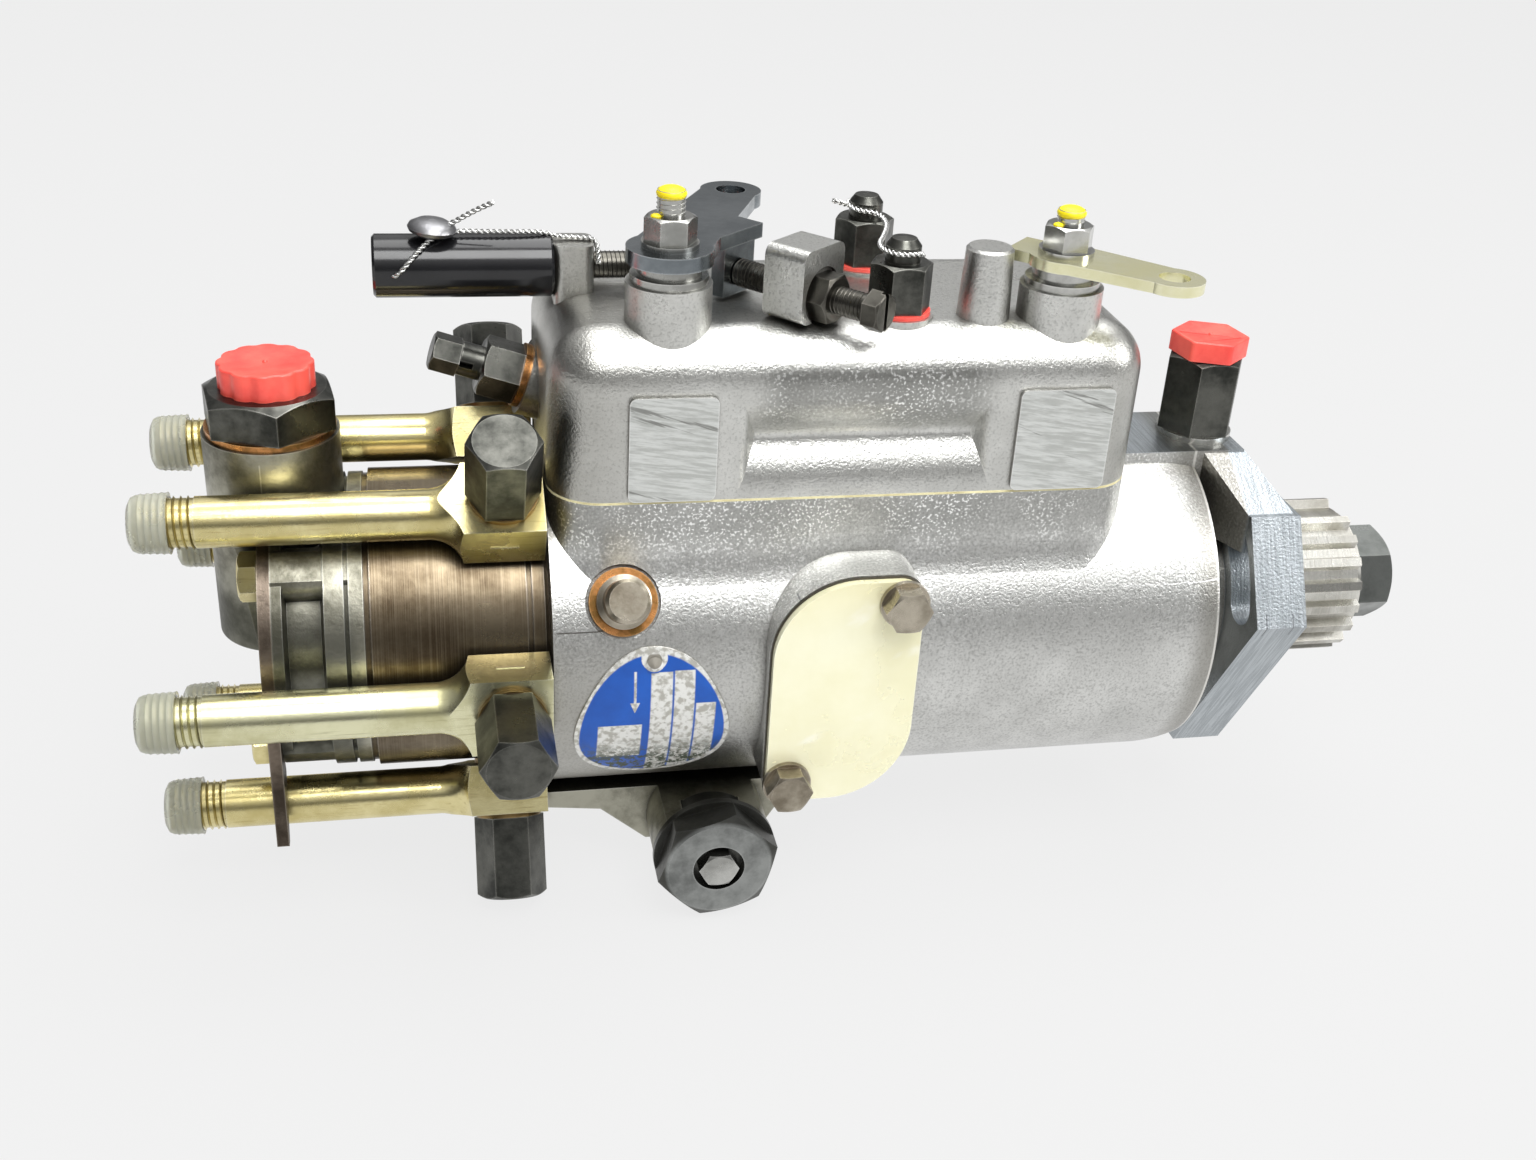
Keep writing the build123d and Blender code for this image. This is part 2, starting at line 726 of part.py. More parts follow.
def build_name_plate():
    """A thin egg-shaped plate wrapped on the housing, held by one rivet."""
    crown = barrel_radius * cos(radians(plate_top_angle))
    middle = barrel_radius * cos(radians(plate_middle_angle))
    foot = barrel_radius * cos(radians(plate_foot_angle))
    half = plate_width / 2
    plate_x = head_end + plate_inset
    rise = crown - middle
    drop = middle - foot
    right = [(half * sin(radians(turn)), middle + rise * cos(radians(turn))) for turn in (30, 60)]
    low = [(half * cos(radians(turn)), middle - drop * sin(radians(turn))) for turn in (0, 30, 60)]
    side = [(across * 0.96, up) for across, up in right] + low
    points = [(0, crown)] + side + [(0, foot)] + [(-across, up) for across, up in reversed(side)]
    outline = make_face(Spline(*points, periodic=True))
    face = Plane(origin=(plate_x, 0, 0), x_dir=(1, 0, 0), z_dir=(0, -1, 0))
    inner = barrel_diameter + 2 * seat_gap
    sheet = (face * extrude(outline, 60)) & ring_x(head_end, cover_middle, inner + 2 * plate_sheet, inner)
    rivet_angle = plate_top_angle + 6.0
    out = around(rivet_angle, 1)
    sheet -= rod(around(rivet_angle, barrel_radius - 1, plate_x), out, 4, rivet_diameter + 0.1)
    rivet = turned(around(rivet_angle, inner / 2 + 0.1, plate_x), out, (0, 0), (rivet_diameter / 2, 0),
                   (rivet_diameter / 2, plate_sheet), (rivet_diameter * 0.8, plate_sheet + 0.1),
                   (0, plate_sheet + 1))
    return sheet + rivet


# ---------------------------------------------------------------- hydraulic head and outlets
def build_head():
    radius = head_diameter / 2
    bore = rotor_diameter / 2 + running_fit
    body = turned_x(
        (head_face, bore), (head_face, radius - 1.2), (head_face + 1.4, radius - 1.2),
        (head_face + 1.4, radius),
        (head_end - 5.0, radius), (head_end - 5.0, radius - 0.6), (head_end - 3.8, radius - 0.6),
        (head_end - 3.8, radius), (head_end - 1.0, radius), (head_end - 1.0, radius - 0.6),
        (head_end, radius - 0.6),
        (head_end, radius), (head_inner - 1.5, radius), (head_inner - 0.5, radius - 1),
        (head_inner - 0.5, bore),
    )
    for angle in outlet_angles:
        seat = rod((outlet_x, 0, head_flat), (0, 0, 1), 6, banjo_washer_diameter + 1)
        port = rod((outlet_x, 0, head_flat - banjo_depth - 1), (0, 0, 1), 14,
                   banjo_bolt_diameter + 2 * thread_gap)
        body -= Rot(angle, 0, 0) * (seat + port)
    body -= rod((valve_x, 0, bore + 2), (0, 0, 1), 40, valve_diameter + 2 * running_fit)
    for angle in lock_angles:
        body -= rod(around(angle, 30, lock_x), around(angle, 1), 12, lock_thread + 2 * thread_gap)
    for angle in end_screw_angles:
        spot = around(angle, end_screw_radius, head_face - 1)
        body -= rod(spot, (1, 0, 0), 13, end_screw_diameter + 2 * thread_gap)
    return body


def build_adaptor(angle):
    """A banjo block whose sides sweep in to a tube that runs along the pump."""
    half = adaptor_width / 2
    middle = outlet_circle / 2
    tube_r = adaptor_tube / 2
    block_start = outlet_x - adaptor_length / 2
    block = box(block_start, outlet_x + adaptor_length / 2, -half, half, adaptor_inner, adaptor_outer)
    spread = sqrt(half**2 + (adaptor_depth / 2) ** 2)
    neck = block_start - shoulder_length
    sweep = ThreePointArc(
        (block_start, spread), (block_start - shoulder_length * 0.4, tube_r + (spread - tube_r) * 0.28),
        (neck, tube_r),
    )
    sides = Polyline((neck, tube_r), (neck, 0), (block_start, 0), (block_start, spread))
    shoulder = Pos(0, 0, middle) * revolve(Plane.XZ * make_face(sweep + sides), Axis.X)
    block += shoulder & box(neck - 1, block_start + 1, -half, half, adaptor_inner, adaptor_outer)
    thread_end = outlet_end + thread_length
    block += rod((thread_end, 0, middle), (1, 0, 0), block_start - thread_end + 1, adaptor_tube)
    nose = thread_core / 2
    block += turned((outlet_end, 0, middle), (1, 0, 0), (0, 0), (nose - 0.6, 0), (nose, 0.6),
                    (nose, thread_length),
                    (0, thread_length))
    block -= rod((outlet_end - 1, 0, middle), (1, 0, 0), outlet_x - outlet_end + 1, tube_bore)
    block -= rod((outlet_x, 0, adaptor_inner - 1), (0, 0, 1), adaptor_depth + 2,
                 banjo_bolt_diameter + 2 * clear_gap)
    return Rot(angle, 0, 0) * block


def build_banjo_washers():
    rings = Part()
    inner = banjo_bolt_diameter + 2 * clear_gap
    for angle in outlet_angles:
        out = around(angle, 1)
        for seat in (head_flat, adaptor_outer):
            rings += washer(around(angle, seat, outlet_x), out, banjo_washer, banjo_washer_diameter, inner)
    return rings


def build_banjo_bolts():
    bolts = Part()
    for angle in outlet_angles:
        out = around(angle, 1)
        seat = adaptor_outer + banjo_washer
        bolts += hex_head(around(angle, seat, outlet_x), out, banjo_head, banjo_hex, x_dir=(1, 0, 0))
        stem = around(angle, head_flat - banjo_depth, outlet_x)
        bolts += rod(stem, out, seat - head_flat + banjo_depth + 1, banjo_bolt_diameter)
    return bolts


def build_outlet_caps():
    caps = Part()
    for angle in outlet_angles:
        start = around(angle, outlet_circle / 2, outlet_end - 1.4)
        cap = rod(start, (1, 0, 0), outlet_cap_length, outlet_cap_diameter)
        cap -= rod(start + Vector(1.4, 0, 0), (1, 0, 0), outlet_cap_length, thread_diameter + 2 * running_fit)
        caps += cap
    return caps


def build_lock_screws():
    screws = Part()
    radius = lock_head / 2
    for angle in lock_angles:
        seat = around(angle, lock_seat + copper_thickness, lock_x)
        screws += turned(seat, around(angle, 1), (0, 0), (radius + 1.2, 0), (radius + 1.2, 1.6),
                         (radius, 2.2),
                         (radius, lock_height - 0.8), (radius - 0.8, lock_height), (0, lock_height))
        shank = lock_seat + copper_thickness - 31
        screws += rod(around(angle, 31, lock_x), around(angle, 1), shank + 1, lock_thread)
    return screws


def build_copper_washers():
    """Soft washers under the inlet union, the vent fitting and the head locking screws."""
    rings = Part()
    for angle in lock_angles:
        rings += washer(around(angle, lock_seat, lock_x), around(angle, 1), copper_thickness, lock_washer,
                        lock_thread + 2 * thread_gap)
    inlet_seat = (inlet_x, 0, inlet_boss_height)
    rings += washer(inlet_seat, (0, 0, 1), copper_thickness, inlet_boss_diameter - 1.5,
                    inlet_thread + 2 * thread_gap)
    rings += washer(vent_seat, vent_axis, copper_thickness, vent_hex + 2.6, vent_thread + 2 * thread_gap)
    return rings


# ---------------------------------------------------------------- end plate and inlet
def build_end_plate():
    """The aluminium end cover: two rims joined by webs, with the inlet boss cast across them."""
    rim = end_plate_diameter / 2
    core = rim - 6.5
    body = turned_x(
        (head_face, 0), (head_face, rim), (head_face - 3.2, rim), (head_face - 3.2, rim - 1.2),
        (head_face - 4.2, rim - 1.2), (head_face - 4.2, rim), (head_face - 8.6, rim), (head_face - 9.6, core),
        (end_back + 3.0, core), (end_back + 2.4, rim - 1.0), (end_back, rim - 1.0), (end_back, 0),
    )
    for angle in end_screw_angles:
        spot = around(angle, end_screw_radius, end_back)
        pillar = rod(spot, (1, 0, 0), end_plate_depth, end_screw_hex + 2) & ring_x(end_back, head_face,
                                                                                   2 * rim - 1)
        body += pillar
    top = inlet_boss_height
    body += rod((inlet_x, 0, 0), (0, 0, 1), top, inlet_boss_diameter)
    # The casting behind the boss slants back to the disc
    half = inlet_boss_diameter / 2 - 1
    wedge = make_face(Polyline((end_back + 1, -26), (end_back - 1, -26), (end_back - 9, top - 16),
                               (end_back - 9, top - 12), (end_back + 1, top - 12), close=True))
    body += Plane.XZ * extrude(wedge, half, both=True)
    body -= rod((inlet_x, 0, top - 12), (0, 0, 1), 13, inlet_thread + 2 * thread_gap)
    body -= rod((inlet_x, 0, 15), (0, 0, 1), 30, inlet_bore)
    for angle in end_screw_angles:
        spot = around(angle, end_screw_radius, end_back - 1)
        body -= rod(spot, (1, 0, 0), end_plate_depth + 2, end_screw_diameter + 2 * thread_gap)
        body -= rod(around(angle, end_screw_radius, end_back - 12), (1, 0, 0), 12, end_screw_hex + 4)
    body -= rod((head_face + 0.1, transfer_offset, 0), (-1, 0, 0), transfer_depth, transfer_recess)
    return body


def build_keep_plate():
    """A sheared steel plate under two of the end screws, with a pointed tail."""
    reach = keep_diameter / 2
    disc = Circle(reach) - Circle(end_screw_radius - 8)
    near_side = Pos(-reach, 0) * Rectangle(2 * reach, 2.4 * reach)
    crescent = disc & near_side
    crescent -= Pos(0, reach) * Rectangle(inlet_boss_diameter + 2, reach * 1.6)
    crescent -= Pos(0, -reach) * Rectangle(inlet_boss_diameter + 2, 3 * reach)
    tail = make_face(Polyline((-reach + 1, -6), (-reach + 9, -26), (-reach + 2.5, -reach - 8),
                              (-reach + 0.5, -reach - 8), close=True))
    outline = crescent + tail
    back = Plane(origin=(end_back, 0, 0), x_dir=(0, 1, 0), z_dir=(1, 0, 0))
    plate = back * extrude(outline, -keep_thickness)
    for angle in end_screw_angles[:2]:
        spot = around(angle, end_screw_radius, end_back + 1)
        plate -= rod(spot, (-1, 0, 0), 8, end_screw_diameter + 2 * thread_gap)
    return plate


def build_end_screws():
    screws = Part()
    for angle in end_screw_angles:
        lift = keep_thickness if angle < 180 else 0.0
        seat = around(angle, end_screw_radius, end_back - lift)
        screws += hex_head(seat, (-1, 0, 0), 4.2, end_screw_hex, x_dir=around(angle, 1))
        screws += rod(seat - Vector(1, 0, 0), (1, 0, 0), end_plate_depth + lift + 11, end_screw_diameter)
    return screws


def build_inlet_union():
    seat = Vector(inlet_x, 0, inlet_boss_height + copper_thickness)
    union = hex_head(seat, (0, 0, 1), inlet_hex_height, inlet_hex,
                     x_dir=(cos(radians(20)), -sin(radians(20)), 0))
    union += rod(seat - Vector(0, 0, 11), (0, 0, 1), 12, inlet_thread)
    union += rod(seat + Vector(0, 0, 4), (0, 0, 1), inlet_hex_height, inlet_cap_diameter - 5)
    return union - rod(seat - Vector(0, 0, 12), (0, 0, 1), 40, inlet_bore)


def build_blanking_caps():
    """Red plastic caps on the inlet and the leak-off connection."""
    inlet_top = Vector(inlet_x, 0, inlet_boss_height + copper_thickness + inlet_hex_height)
    inlet_cap = rod(inlet_top, (0, 0, 1), 5.8, inlet_cap_diameter)
    inlet_cap -= rod(inlet_top, (0, 0, 1), 4.0 + clear_gap, inlet_cap_diameter - 5 + 2 * running_fit)
    leak_top = leak_at + Vector(0, 0, copper_thickness + leak_hex_height)
    leak_cap = rod(leak_top, (0, 0, 1), leak_cap_height, leak_hex + 1.5)
    leak_cap -= rod(leak_top, (0, 0, 1), 3.0 + clear_gap, leak_thread + 2 * running_fit)
    return inlet_cap + leak_cap


# ---------------------------------------------------------------- vent and leak-off fittings
def build_vent_body():
    seat = vent_seat + vent_axis * copper_thickness
    body = hex_head(seat, vent_axis, vent_hex_length, vent_hex, x_dir=(0, 1, 0))
    body += rod(seat - vent_axis * 8, vent_axis, 9, vent_thread)
    body += rod(seat + vent_axis * 5, vent_axis, vent_hex_length - 5 + vent_neck_length, vent_neck)
    reach = vent_hex_length + vent_neck_length
    body -= rod(seat + vent_axis * (reach - 9), vent_axis, 10, vent_screw_thread + 2 * thread_gap)
    slot = frame_at(seat + vent_axis * (reach - 1.5), vent_axis, (0, 1, 0)) * Box(20, 1.4, 3.2)
    return body - slot


def build_vent_screw():
    base = vent_seat + vent_axis * (copper_thickness + vent_hex_length + vent_neck_length + 0.1)
    screw = hex_head(base, vent_axis, vent_screw_length, vent_screw_hex, x_dir=(0, 1, 0))
    return screw + rod(base - vent_axis * 7, vent_axis, 8, vent_screw_thread)


def build_leak_off():
    base = leak_at + Vector(0, 0, copper_thickness)
    union = hex_head(base, (0, 0, 1), leak_hex_height, leak_hex, x_dir=(1, 0, 0))
    union += rod(base - Vector(0, 0, leak_thread_length), (0, 0, 1), leak_thread_length + 1, leak_thread)
    union += rod(base + Vector(0, 0, 8), (0, 0, 1), leak_hex_height - 8 + 3.0, leak_thread)
    union -= rod(base - Vector(0, 0, leak_thread_length + 1), (0, 0, 1), 60, tube_bore + 1)
    return union


def build_leak_washer():
    return washer(leak_at, (0, 0, 1), copper_thickness, leak_hex + 1.5, leak_thread + 2 * thread_gap)


# ---------------------------------------------------------------- advance device
def build_advance_body():
    """A cylinder across the underside, hung from a foot that spreads along the housing's flat."""
    radius = advance_body_diameter / 2
    centre = Vector(advance_x, -advance_reach, advance_z)
    body = rod(centre, (0, 1, 0), 2 * advance_reach, advance_body_diameter)
    top = -advance_flat
    thin = top - advance_foot_thickness
    shoulder = advance_z - radius * 0.5
    foot_end = advance_x + advance_foot_length
    profile = make_face(Polyline(
        (head_end, top), (head_end, thin), (head_end + 13, thin - 1.5), (advance_x - radius, shoulder),
        (advance_x + radius, shoulder), (foot_end - 5, thin - 0.5), (foot_end, thin), (foot_end, top),
        close=True,
    ))
    body += Plane.XZ * extrude(profile, advance_pad_width / 2, both=True)
    for screw_x in (advance_x - 28, advance_x + 19):
        body += rod((screw_x, 0, top - 1), (0, 0, -1), 14, 17)
    body &= box(head_end, foot_end, -60, 60, advance_z - radius - 10, top)
    bore = advance_piston_diameter + 2 * running_fit
    body -= rod(centre - Vector(0, 1, 0), (0, 1, 0), 2 * advance_reach - 4, bore)
    cap_bore = advance_cap_thread + 2 * thread_gap
    body -= rod(centre - Vector(0, 1, 0), (0, 1, 0), 10, cap_bore)
    slot_half = advance_pin_diameter / 2 + 1.5
    body -= box(advance_x - slot_half, advance_x + slot_half, -11, 11, advance_z, top + 1)
    return body


def build_advance_cap():
    out = Vector(0, -1, 0)
    seat = Vector(advance_x, -advance_reach, advance_z)
    cap = hex_head(seat, out, advance_cap_length, advance_cap_hex,
                   x_dir=(cos(radians(15)), 0, sin(radians(15))))
    cap += rod(seat, out, 1.6, advance_cap_collar)
    cap += rod(seat - out * 8.5, out, 9, advance_cap_thread)
    cap -= rod(seat - out * 9, out, 6.5, advance_piston_diameter - 2)
    cap -= rod(seat + out * (advance_cap_length - 3.2), out, 5, 12.5)
    return cap - rod(seat - out * 9, out, 30, 5.0 + 2 * thread_gap)


def build_advance_cap_screw():
    out = Vector(0, -1, 0)
    seat = Vector(advance_x, -advance_reach, advance_z) + out * (advance_cap_length - 3.2)
    screw = hex_head(seat, out, 4.2, 8.5, x_dir=(1, 0, 0))
    return screw + rod(seat - out * 7, out, 8, 5.0)


def build_advance_piston():
    start = Vector(advance_x, -advance_piston_length / 2 + advance_stroke, advance_z)
    piston = rod(start, (0, 1, 0), advance_piston_length, advance_piston_diameter)
    piston -= rod(start - Vector(0, 1, 0), (0, 1, 0), 7, advance_piston_diameter - 4)
    slot = rod((advance_x, 0, advance_z - 6), (0, 0, 1), 20, advance_pin_diameter + 2.4)
    return piston - slot


def spring(start, finish, diameter, wire, turns):
    """A coil spring between two points."""
    line = finish - start
    coil = Helix(pitch=line.length / turns, height=line.length, radius=diameter / 2)
    section = Plane(origin=coil @ 0, z_dir=coil % 0) * RegularPolygon(wire / 2, 6)
    return frame_at(start, line.normalized()) * sweep(section, path=coil, is_frenet=True)


def build_advance_spring():
    start = Vector(advance_x, -advance_reach + 4.5, advance_z)
    finish = Vector(advance_x, -advance_piston_length / 2 + advance_stroke + 5.0, advance_z)
    return spring(start, finish, advance_piston_diameter - 5.6, 1.4, 6)


def build_cam_ring():
    """A ring with six inward lobes and the screw that reaches down to the advance piston."""
    outer = Circle((chamber_diameter - 2 * running_fit) / 2)
    steps = 36
    points = []
    for step in range(steps):
        turn = radians(step * 360 / steps)
        radius = cam_low - cam_lift / 2 + cam_lift / 2 * cos(6 * turn)
        points.append((radius * sin(turn), radius * cos(turn)))
    inner = make_face(Spline(*points, periodic=True))
    ring = Pos(cam_x - cam_width / 2, 0, 0) * (Plane.YZ * extrude(outer - inner, cam_width))
    ring += rod((cam_x, 0, -cam_low - 2), (0, 0, -1), advance_drop - cam_low - 1.5, advance_pin_diameter)
    return ring


# ---------------------------------------------------------------- drive line and governor
def build_drive_shaft():
    coupling = cam_x + cam_width / 2 + 2.0
    shaft_r = shaft_diameter / 2
    bush_r = bush_diameter / 2
    tail_r = shaft_tail / 2
    hub_start = spigot_length + hub_gap
    tail_end = hub_start + hub_length - 4
    shaft = turned_x(
        (coupling, 0), (coupling, 16), (coupling + 4, 16), (coupling + 4, shaft_r),
        (retainer_x + seat_gap, shaft_r),
        (retainer_x + seat_gap, shaft_r + 3), (retainer_x + 6, shaft_r + 3), (retainer_x + 6, bush_r),
        (hub_start - 0.2, bush_r), (hub_start - 0.2, tail_r), (tail_end, tail_r), (tail_end, 0),
    )
    return shaft - ring_x(hub_start + 3, tail_end + 1, drive_bolt_thread + 2 * thread_gap)


def build_drive_hub():
    """A splined driving hub with one tooth left out as the master spline."""
    start = spigot_length + hub_gap
    tip = hub_diameter / 2
    root = hub_root / 2
    pitch = 360 / hub_teeth
    points = []
    for tooth in range(hub_teeth):
        middle = tooth * pitch
        for offset, radius in ((-0.30, root), (-0.17, tip), (0.17, tip), (0.30, root)):
            reach = root + 0.01 if tooth == 0 else radius
            spot = around(middle + offset * pitch, reach)
            points.append((spot.Y, spot.Z))
    profile = make_face(Polyline(*points, close=True))
    hub = Pos(start, 0, 0) * (Plane.YZ * extrude(profile, hub_length - 1.5))
    hub += ring_x(start + hub_length - 2, start + hub_length, hub_root - 2)
    hub += ring_x(start, start + 1.5, hub_root + 3)
    return hub - ring_x(start - 1, start + hub_length + 1, shaft_tail + 2 * seat_gap)


def build_drive_bolt():
    seat = spigot_length + hub_gap + hub_length
    bolt = hex_head((seat, 0, 0), (1, 0, 0), drive_bolt_head, drive_bolt_hex, x_dir=(0, 0.3, 1))
    reach = hub_length - 4
    return bolt + rod((seat - reach, 0, 0), (1, 0, 0), reach + 1, drive_bolt_thread)


def build_retainer():
    """A disc with four horns that carry the governor weights between them."""
    radius = retainer_diameter / 2
    back = ring_x(retainer_x - 3, retainer_x, retainer_diameter, shaft_diameter + 2 * seat_gap)
    for index in range(weight_count):
        horn = box(retainer_x - retainer_length, retainer_x - 2, -2.5, 2.5, 16, radius - 1)
        back += Rot(45 + index * 360 / weight_count, 0, 0) * horn
    return back


def build_weight(index):
    """One bob: a curved block that turns on its outer back edge, with a toe to the sleeve."""
    pivot = (retainer_x - 5.2, weight_pivot_radius)
    outline = make_face(Polyline(
        (pivot[0], pivot[1]), (pivot[0] + 1.6, pivot[1]), (pivot[0] + 1.6, 13.0), (pivot[0] - 0.6, 13.0),
        (pivot[0] - 0.7, 16.5),
        (pivot[0] - 18, 16.5), (pivot[0] - 19, 18), (pivot[0] - 19, pivot[1] - 1),
        (pivot[0] - 17, pivot[1] + 1.2),
        (pivot[0], pivot[1] + 1.2), close=True,
    ))
    outline += Pos(*pivot) * Circle(1.6)
    bob = Plane.XZ * extrude(outline, weight_width / 2, both=True)
    bob = bob & ring_x(pivot[0] - 22, pivot[0] + 4, 2 * (pivot[1] + 1.2))
    return Rot(index * 360 / weight_count, 0, 0) * bob


def build_thrust_sleeve():
    inner = shaft_diameter / 2 + running_fit
    return turned_x(
        (sleeve_end_x, inner), (sleeve_end_x, 17), (sleeve_end_x + 2.6, 17), (sleeve_end_x + 2.6, 13.2),
        (sleeve_flange_x - 2, 13.2), (sleeve_flange_x - 2, 15.0), (sleeve_flange_x, 15.0),
        (sleeve_flange_x, inner),
    )


def build_rotor():
    """The pumping rotor: a long stem in the head and a slotted head for the plungers."""
    stem = rotor_diameter / 2
    wide = rotor_head_diameter / 2
    back = cam_x + cam_width / 2 + 2.0
    body = turned_x(
        (head_face - 0.2, 0), (head_face - 0.2, stem), (head_inner + 0.2, stem), (head_inner + 0.2, wide),
        (back, wide), (back, 0),
    )
    for side in (1, -1):
        slot = box(cam_x - 7.2, cam_x + 7.2, -7.7, 7.7, 11.5, wide + 1)
        body -= Rot(0 if side > 0 else 180, 0, 0) * slot
    body -= rod((cam_x, 0, -wide), (0, 0, 1), 2 * wide, plunger_diameter + 2 * running_fit)
    return body


def build_transfer_rotor():
    """The slotted rotor of the vane transfer pump."""
    start = head_face - 0.3
    body = ring_x(start - transfer_depth + 0.9, start, transfer_rotor_diameter)
    for angle in (0, 90):
        body -= Rot(angle, 0, 0) * box(start - 10, start + 1, -1, 1, 6, transfer_rotor_diameter)
        body -= Rot(angle + 180, 0, 0) * box(start - 10, start + 1, -1, 1, 6, transfer_rotor_diameter)
    return body


def build_plunger(side):
    """One plunger with its shoe and roller."""
    roller_r = roller_diameter / 2
    roller_centre = cam_low - cam_lift - 0.2 - plunger_stroke - roller_r
    piece = rod((cam_x, 0, 1.2), (0, 0, 1), 12, plunger_diameter)
    piece += box(cam_x - 7, cam_x + 7, -7.5, 7.5, 12.0, roller_centre)
    piece += rod((cam_x - 7, 0, roller_centre), (1, 0, 0), 14, roller_diameter)
    return Rot(0 if side > 0 else 180, 0, 0) * piece


def build_governor_arm():
    """A forked arm on a cross pin: legs down to the sleeve, a stem up to the spring."""
    pin_r = pivot_diameter / 2
    half = well_half_width - 0.2
    arm = rod((pivot_x, -half, pivot_height), (0, 1, 0), 2 * half, pivot_diameter)
    thickness = 2.0
    left = pivot_x - 1.4
    right = left + thickness
    arm += box(left, right, -14, 14, 38, pivot_height + 3)
    for side in (1, -1):
        leg = sorted((side * 12.2, side * 15.6))
        arm += box(left - 1, right - 1, leg[0], leg[1], -3, 45)
        arm += rod((left - 0.5, side * 13.9, 0), (1, 0, 0), thickness + 0.5, 3.4)
    arm += box(left, right, -4, 4, pivot_height, pivot_height + 18)
    return arm - rod((left - 1, 0, pivot_height + 15), (1, 0, 0), 6, 3)


def build_governor_spring():
    """The tension spring from the governor arm to the crank of the throttle shaft."""
    height = pivot_height + 15
    start = Vector(pivot_x - 2.6, 0, height)
    finish = Vector(throttle_at.X + 13, throttle_at.Y + 9, height)
    return spring(start, finish, 7.0, 1.1, 16)


def build_metering_valve():
    """A slender valve that stands in the head and turns by a short arm."""
    valve = rod((valve_x, 0, rotor_diameter / 2 + 3), (0, 0, 1), 34, valve_diameter)
    top = rotor_diameter / 2 + 37
    valve += box(valve_x - 3, valve_x + 12, -3, 3, top - 1, top + 1.5)
    return valve + rod((valve_x + 9, 0, top), (0, 0, 1), 6, 3)


# ---------------------------------------------------------------- control levers
def control_shaft(at, lever_bottom, lever_thickness, stud_height):
    """An upright shaft, stepped for its lever and nut, with a crank at the foot."""
    foot = cover_top - control_shaft_depth
    shaft = rod((at.X, at.Y, foot), (0, 0, 1), lever_bottom - foot, control_shaft_diameter)
    shaft += rod((at.X, at.Y, lever_bottom - 1), (0, 0, 1), lever_thickness + 1, lever_seat_diameter)
    shaft += rod((at.X, at.Y, lever_bottom), (0, 0, 1), stud_height, control_stud_diameter)
    return shaft


def build_throttle_shaft():
    stud = lever_washer + control_nut_height + throttle_lever_thickness + 5.4
    shaft = control_shaft(throttle_at, throttle_lever_bottom, throttle_lever_thickness, stud)
    foot = cover_top - control_shaft_depth
    crank = Pos(throttle_at.X, throttle_at.Y, foot) * (Rot(0, 0, 40) * box(0, 13, -3, 3, 0, 3))
    pin = rod((throttle_at.X + 11, throttle_at.Y + 8.5, foot), (0, 0, 1), 13, 3)
    return shaft + crank + pin


def build_shut_off_shaft():
    stud = lever_washer + control_nut_height + shut_off_lever_thickness + 3.2
    shaft = control_shaft(shut_off_at, shut_off_lever_bottom, shut_off_lever_thickness, stud)
    foot = cover_top - control_shaft_depth
    crank = Pos(shut_off_at.X, shut_off_at.Y, foot) * (Rot(0, 0, 130) * box(0, 10, -2.5, 2.5, 0, 3))
    return shaft + crank


def lever_blade(at, bottom, thickness, angle, length, hub, tip):
    """A flat lever that narrows from its hub to its rounded end."""
    direction = Vector(cos(radians(angle)), sin(radians(angle)), 0)
    end = at + direction * length
    side = Vector(-direction.Y, direction.X, 0)
    corners = []
    for origin, width in ((at, hub), (end, tip)):
        for way in ((1, -1) if origin is at else (-1, 1)):
            spot = origin + side * (way * width / 2 * 0.92)
            corners.append((spot.X, spot.Y))
    web = make_face(Polyline(*corners, close=True))
    blade = Pos(0, 0, bottom) * extrude(web, thickness)
    blade += rod((at.X, at.Y, bottom), (0, 0, 1), thickness, hub)
    blade += rod((end.X, end.Y, bottom), (0, 0, 1), thickness, tip)
    blade -= rod((end.X, end.Y, bottom - 1), (0, 0, 1), thickness + 2, lever_hole_diameter)
    return blade


def build_throttle_lever():
    """The stamped lever with the tongue that meets the two adjusting screws."""
    lever = lever_blade(throttle_at, throttle_lever_bottom, throttle_lever_thickness, throttle_arm_angle,
                        throttle_arm_length, throttle_hub_diameter, throttle_tip_diameter)
    middle = throttle_at + web_out * web_radius
    bottom = throttle_lever_bottom - web_depth
    tongue = box(-web_width / 2, web_width / 2, -web_thickness / 2, web_thickness / 2, bottom,
                 throttle_lever_bottom + throttle_lever_thickness)
    wing = box(-web_radius + 4, web_width / 2, -web_thickness / 2 - 2, web_thickness / 2 + 4,
               throttle_lever_bottom,
               throttle_lever_bottom + throttle_lever_thickness)
    lever += Pos(middle.X, middle.Y, 0) * (Rot(0, 0, web_angle) * (tongue + wing))
    seat = rod((throttle_at.X, throttle_at.Y, 0), (0, 0, 1), 200, lever_seat_diameter + 2 * seat_gap)
    return lever - seat


def build_shut_off_lever():
    lever = lever_blade(shut_off_at, shut_off_lever_bottom, shut_off_lever_thickness, shut_off_arm_angle,
                        shut_off_arm_length, shut_off_hub_diameter, shut_off_tip_diameter)
    tail = box(0, shut_off_tail_length + 4, -5.5, 5.5, shut_off_lever_bottom,
               shut_off_lever_bottom + shut_off_lever_thickness)
    lever += Pos(shut_off_at.X, shut_off_at.Y, 0) * (Rot(0, 0, shut_off_arm_angle + 180) * tail)
    seat = rod((shut_off_at.X, shut_off_at.Y, 0), (0, 0, 1), 200, lever_seat_diameter + 2 * seat_gap)
    return lever - seat


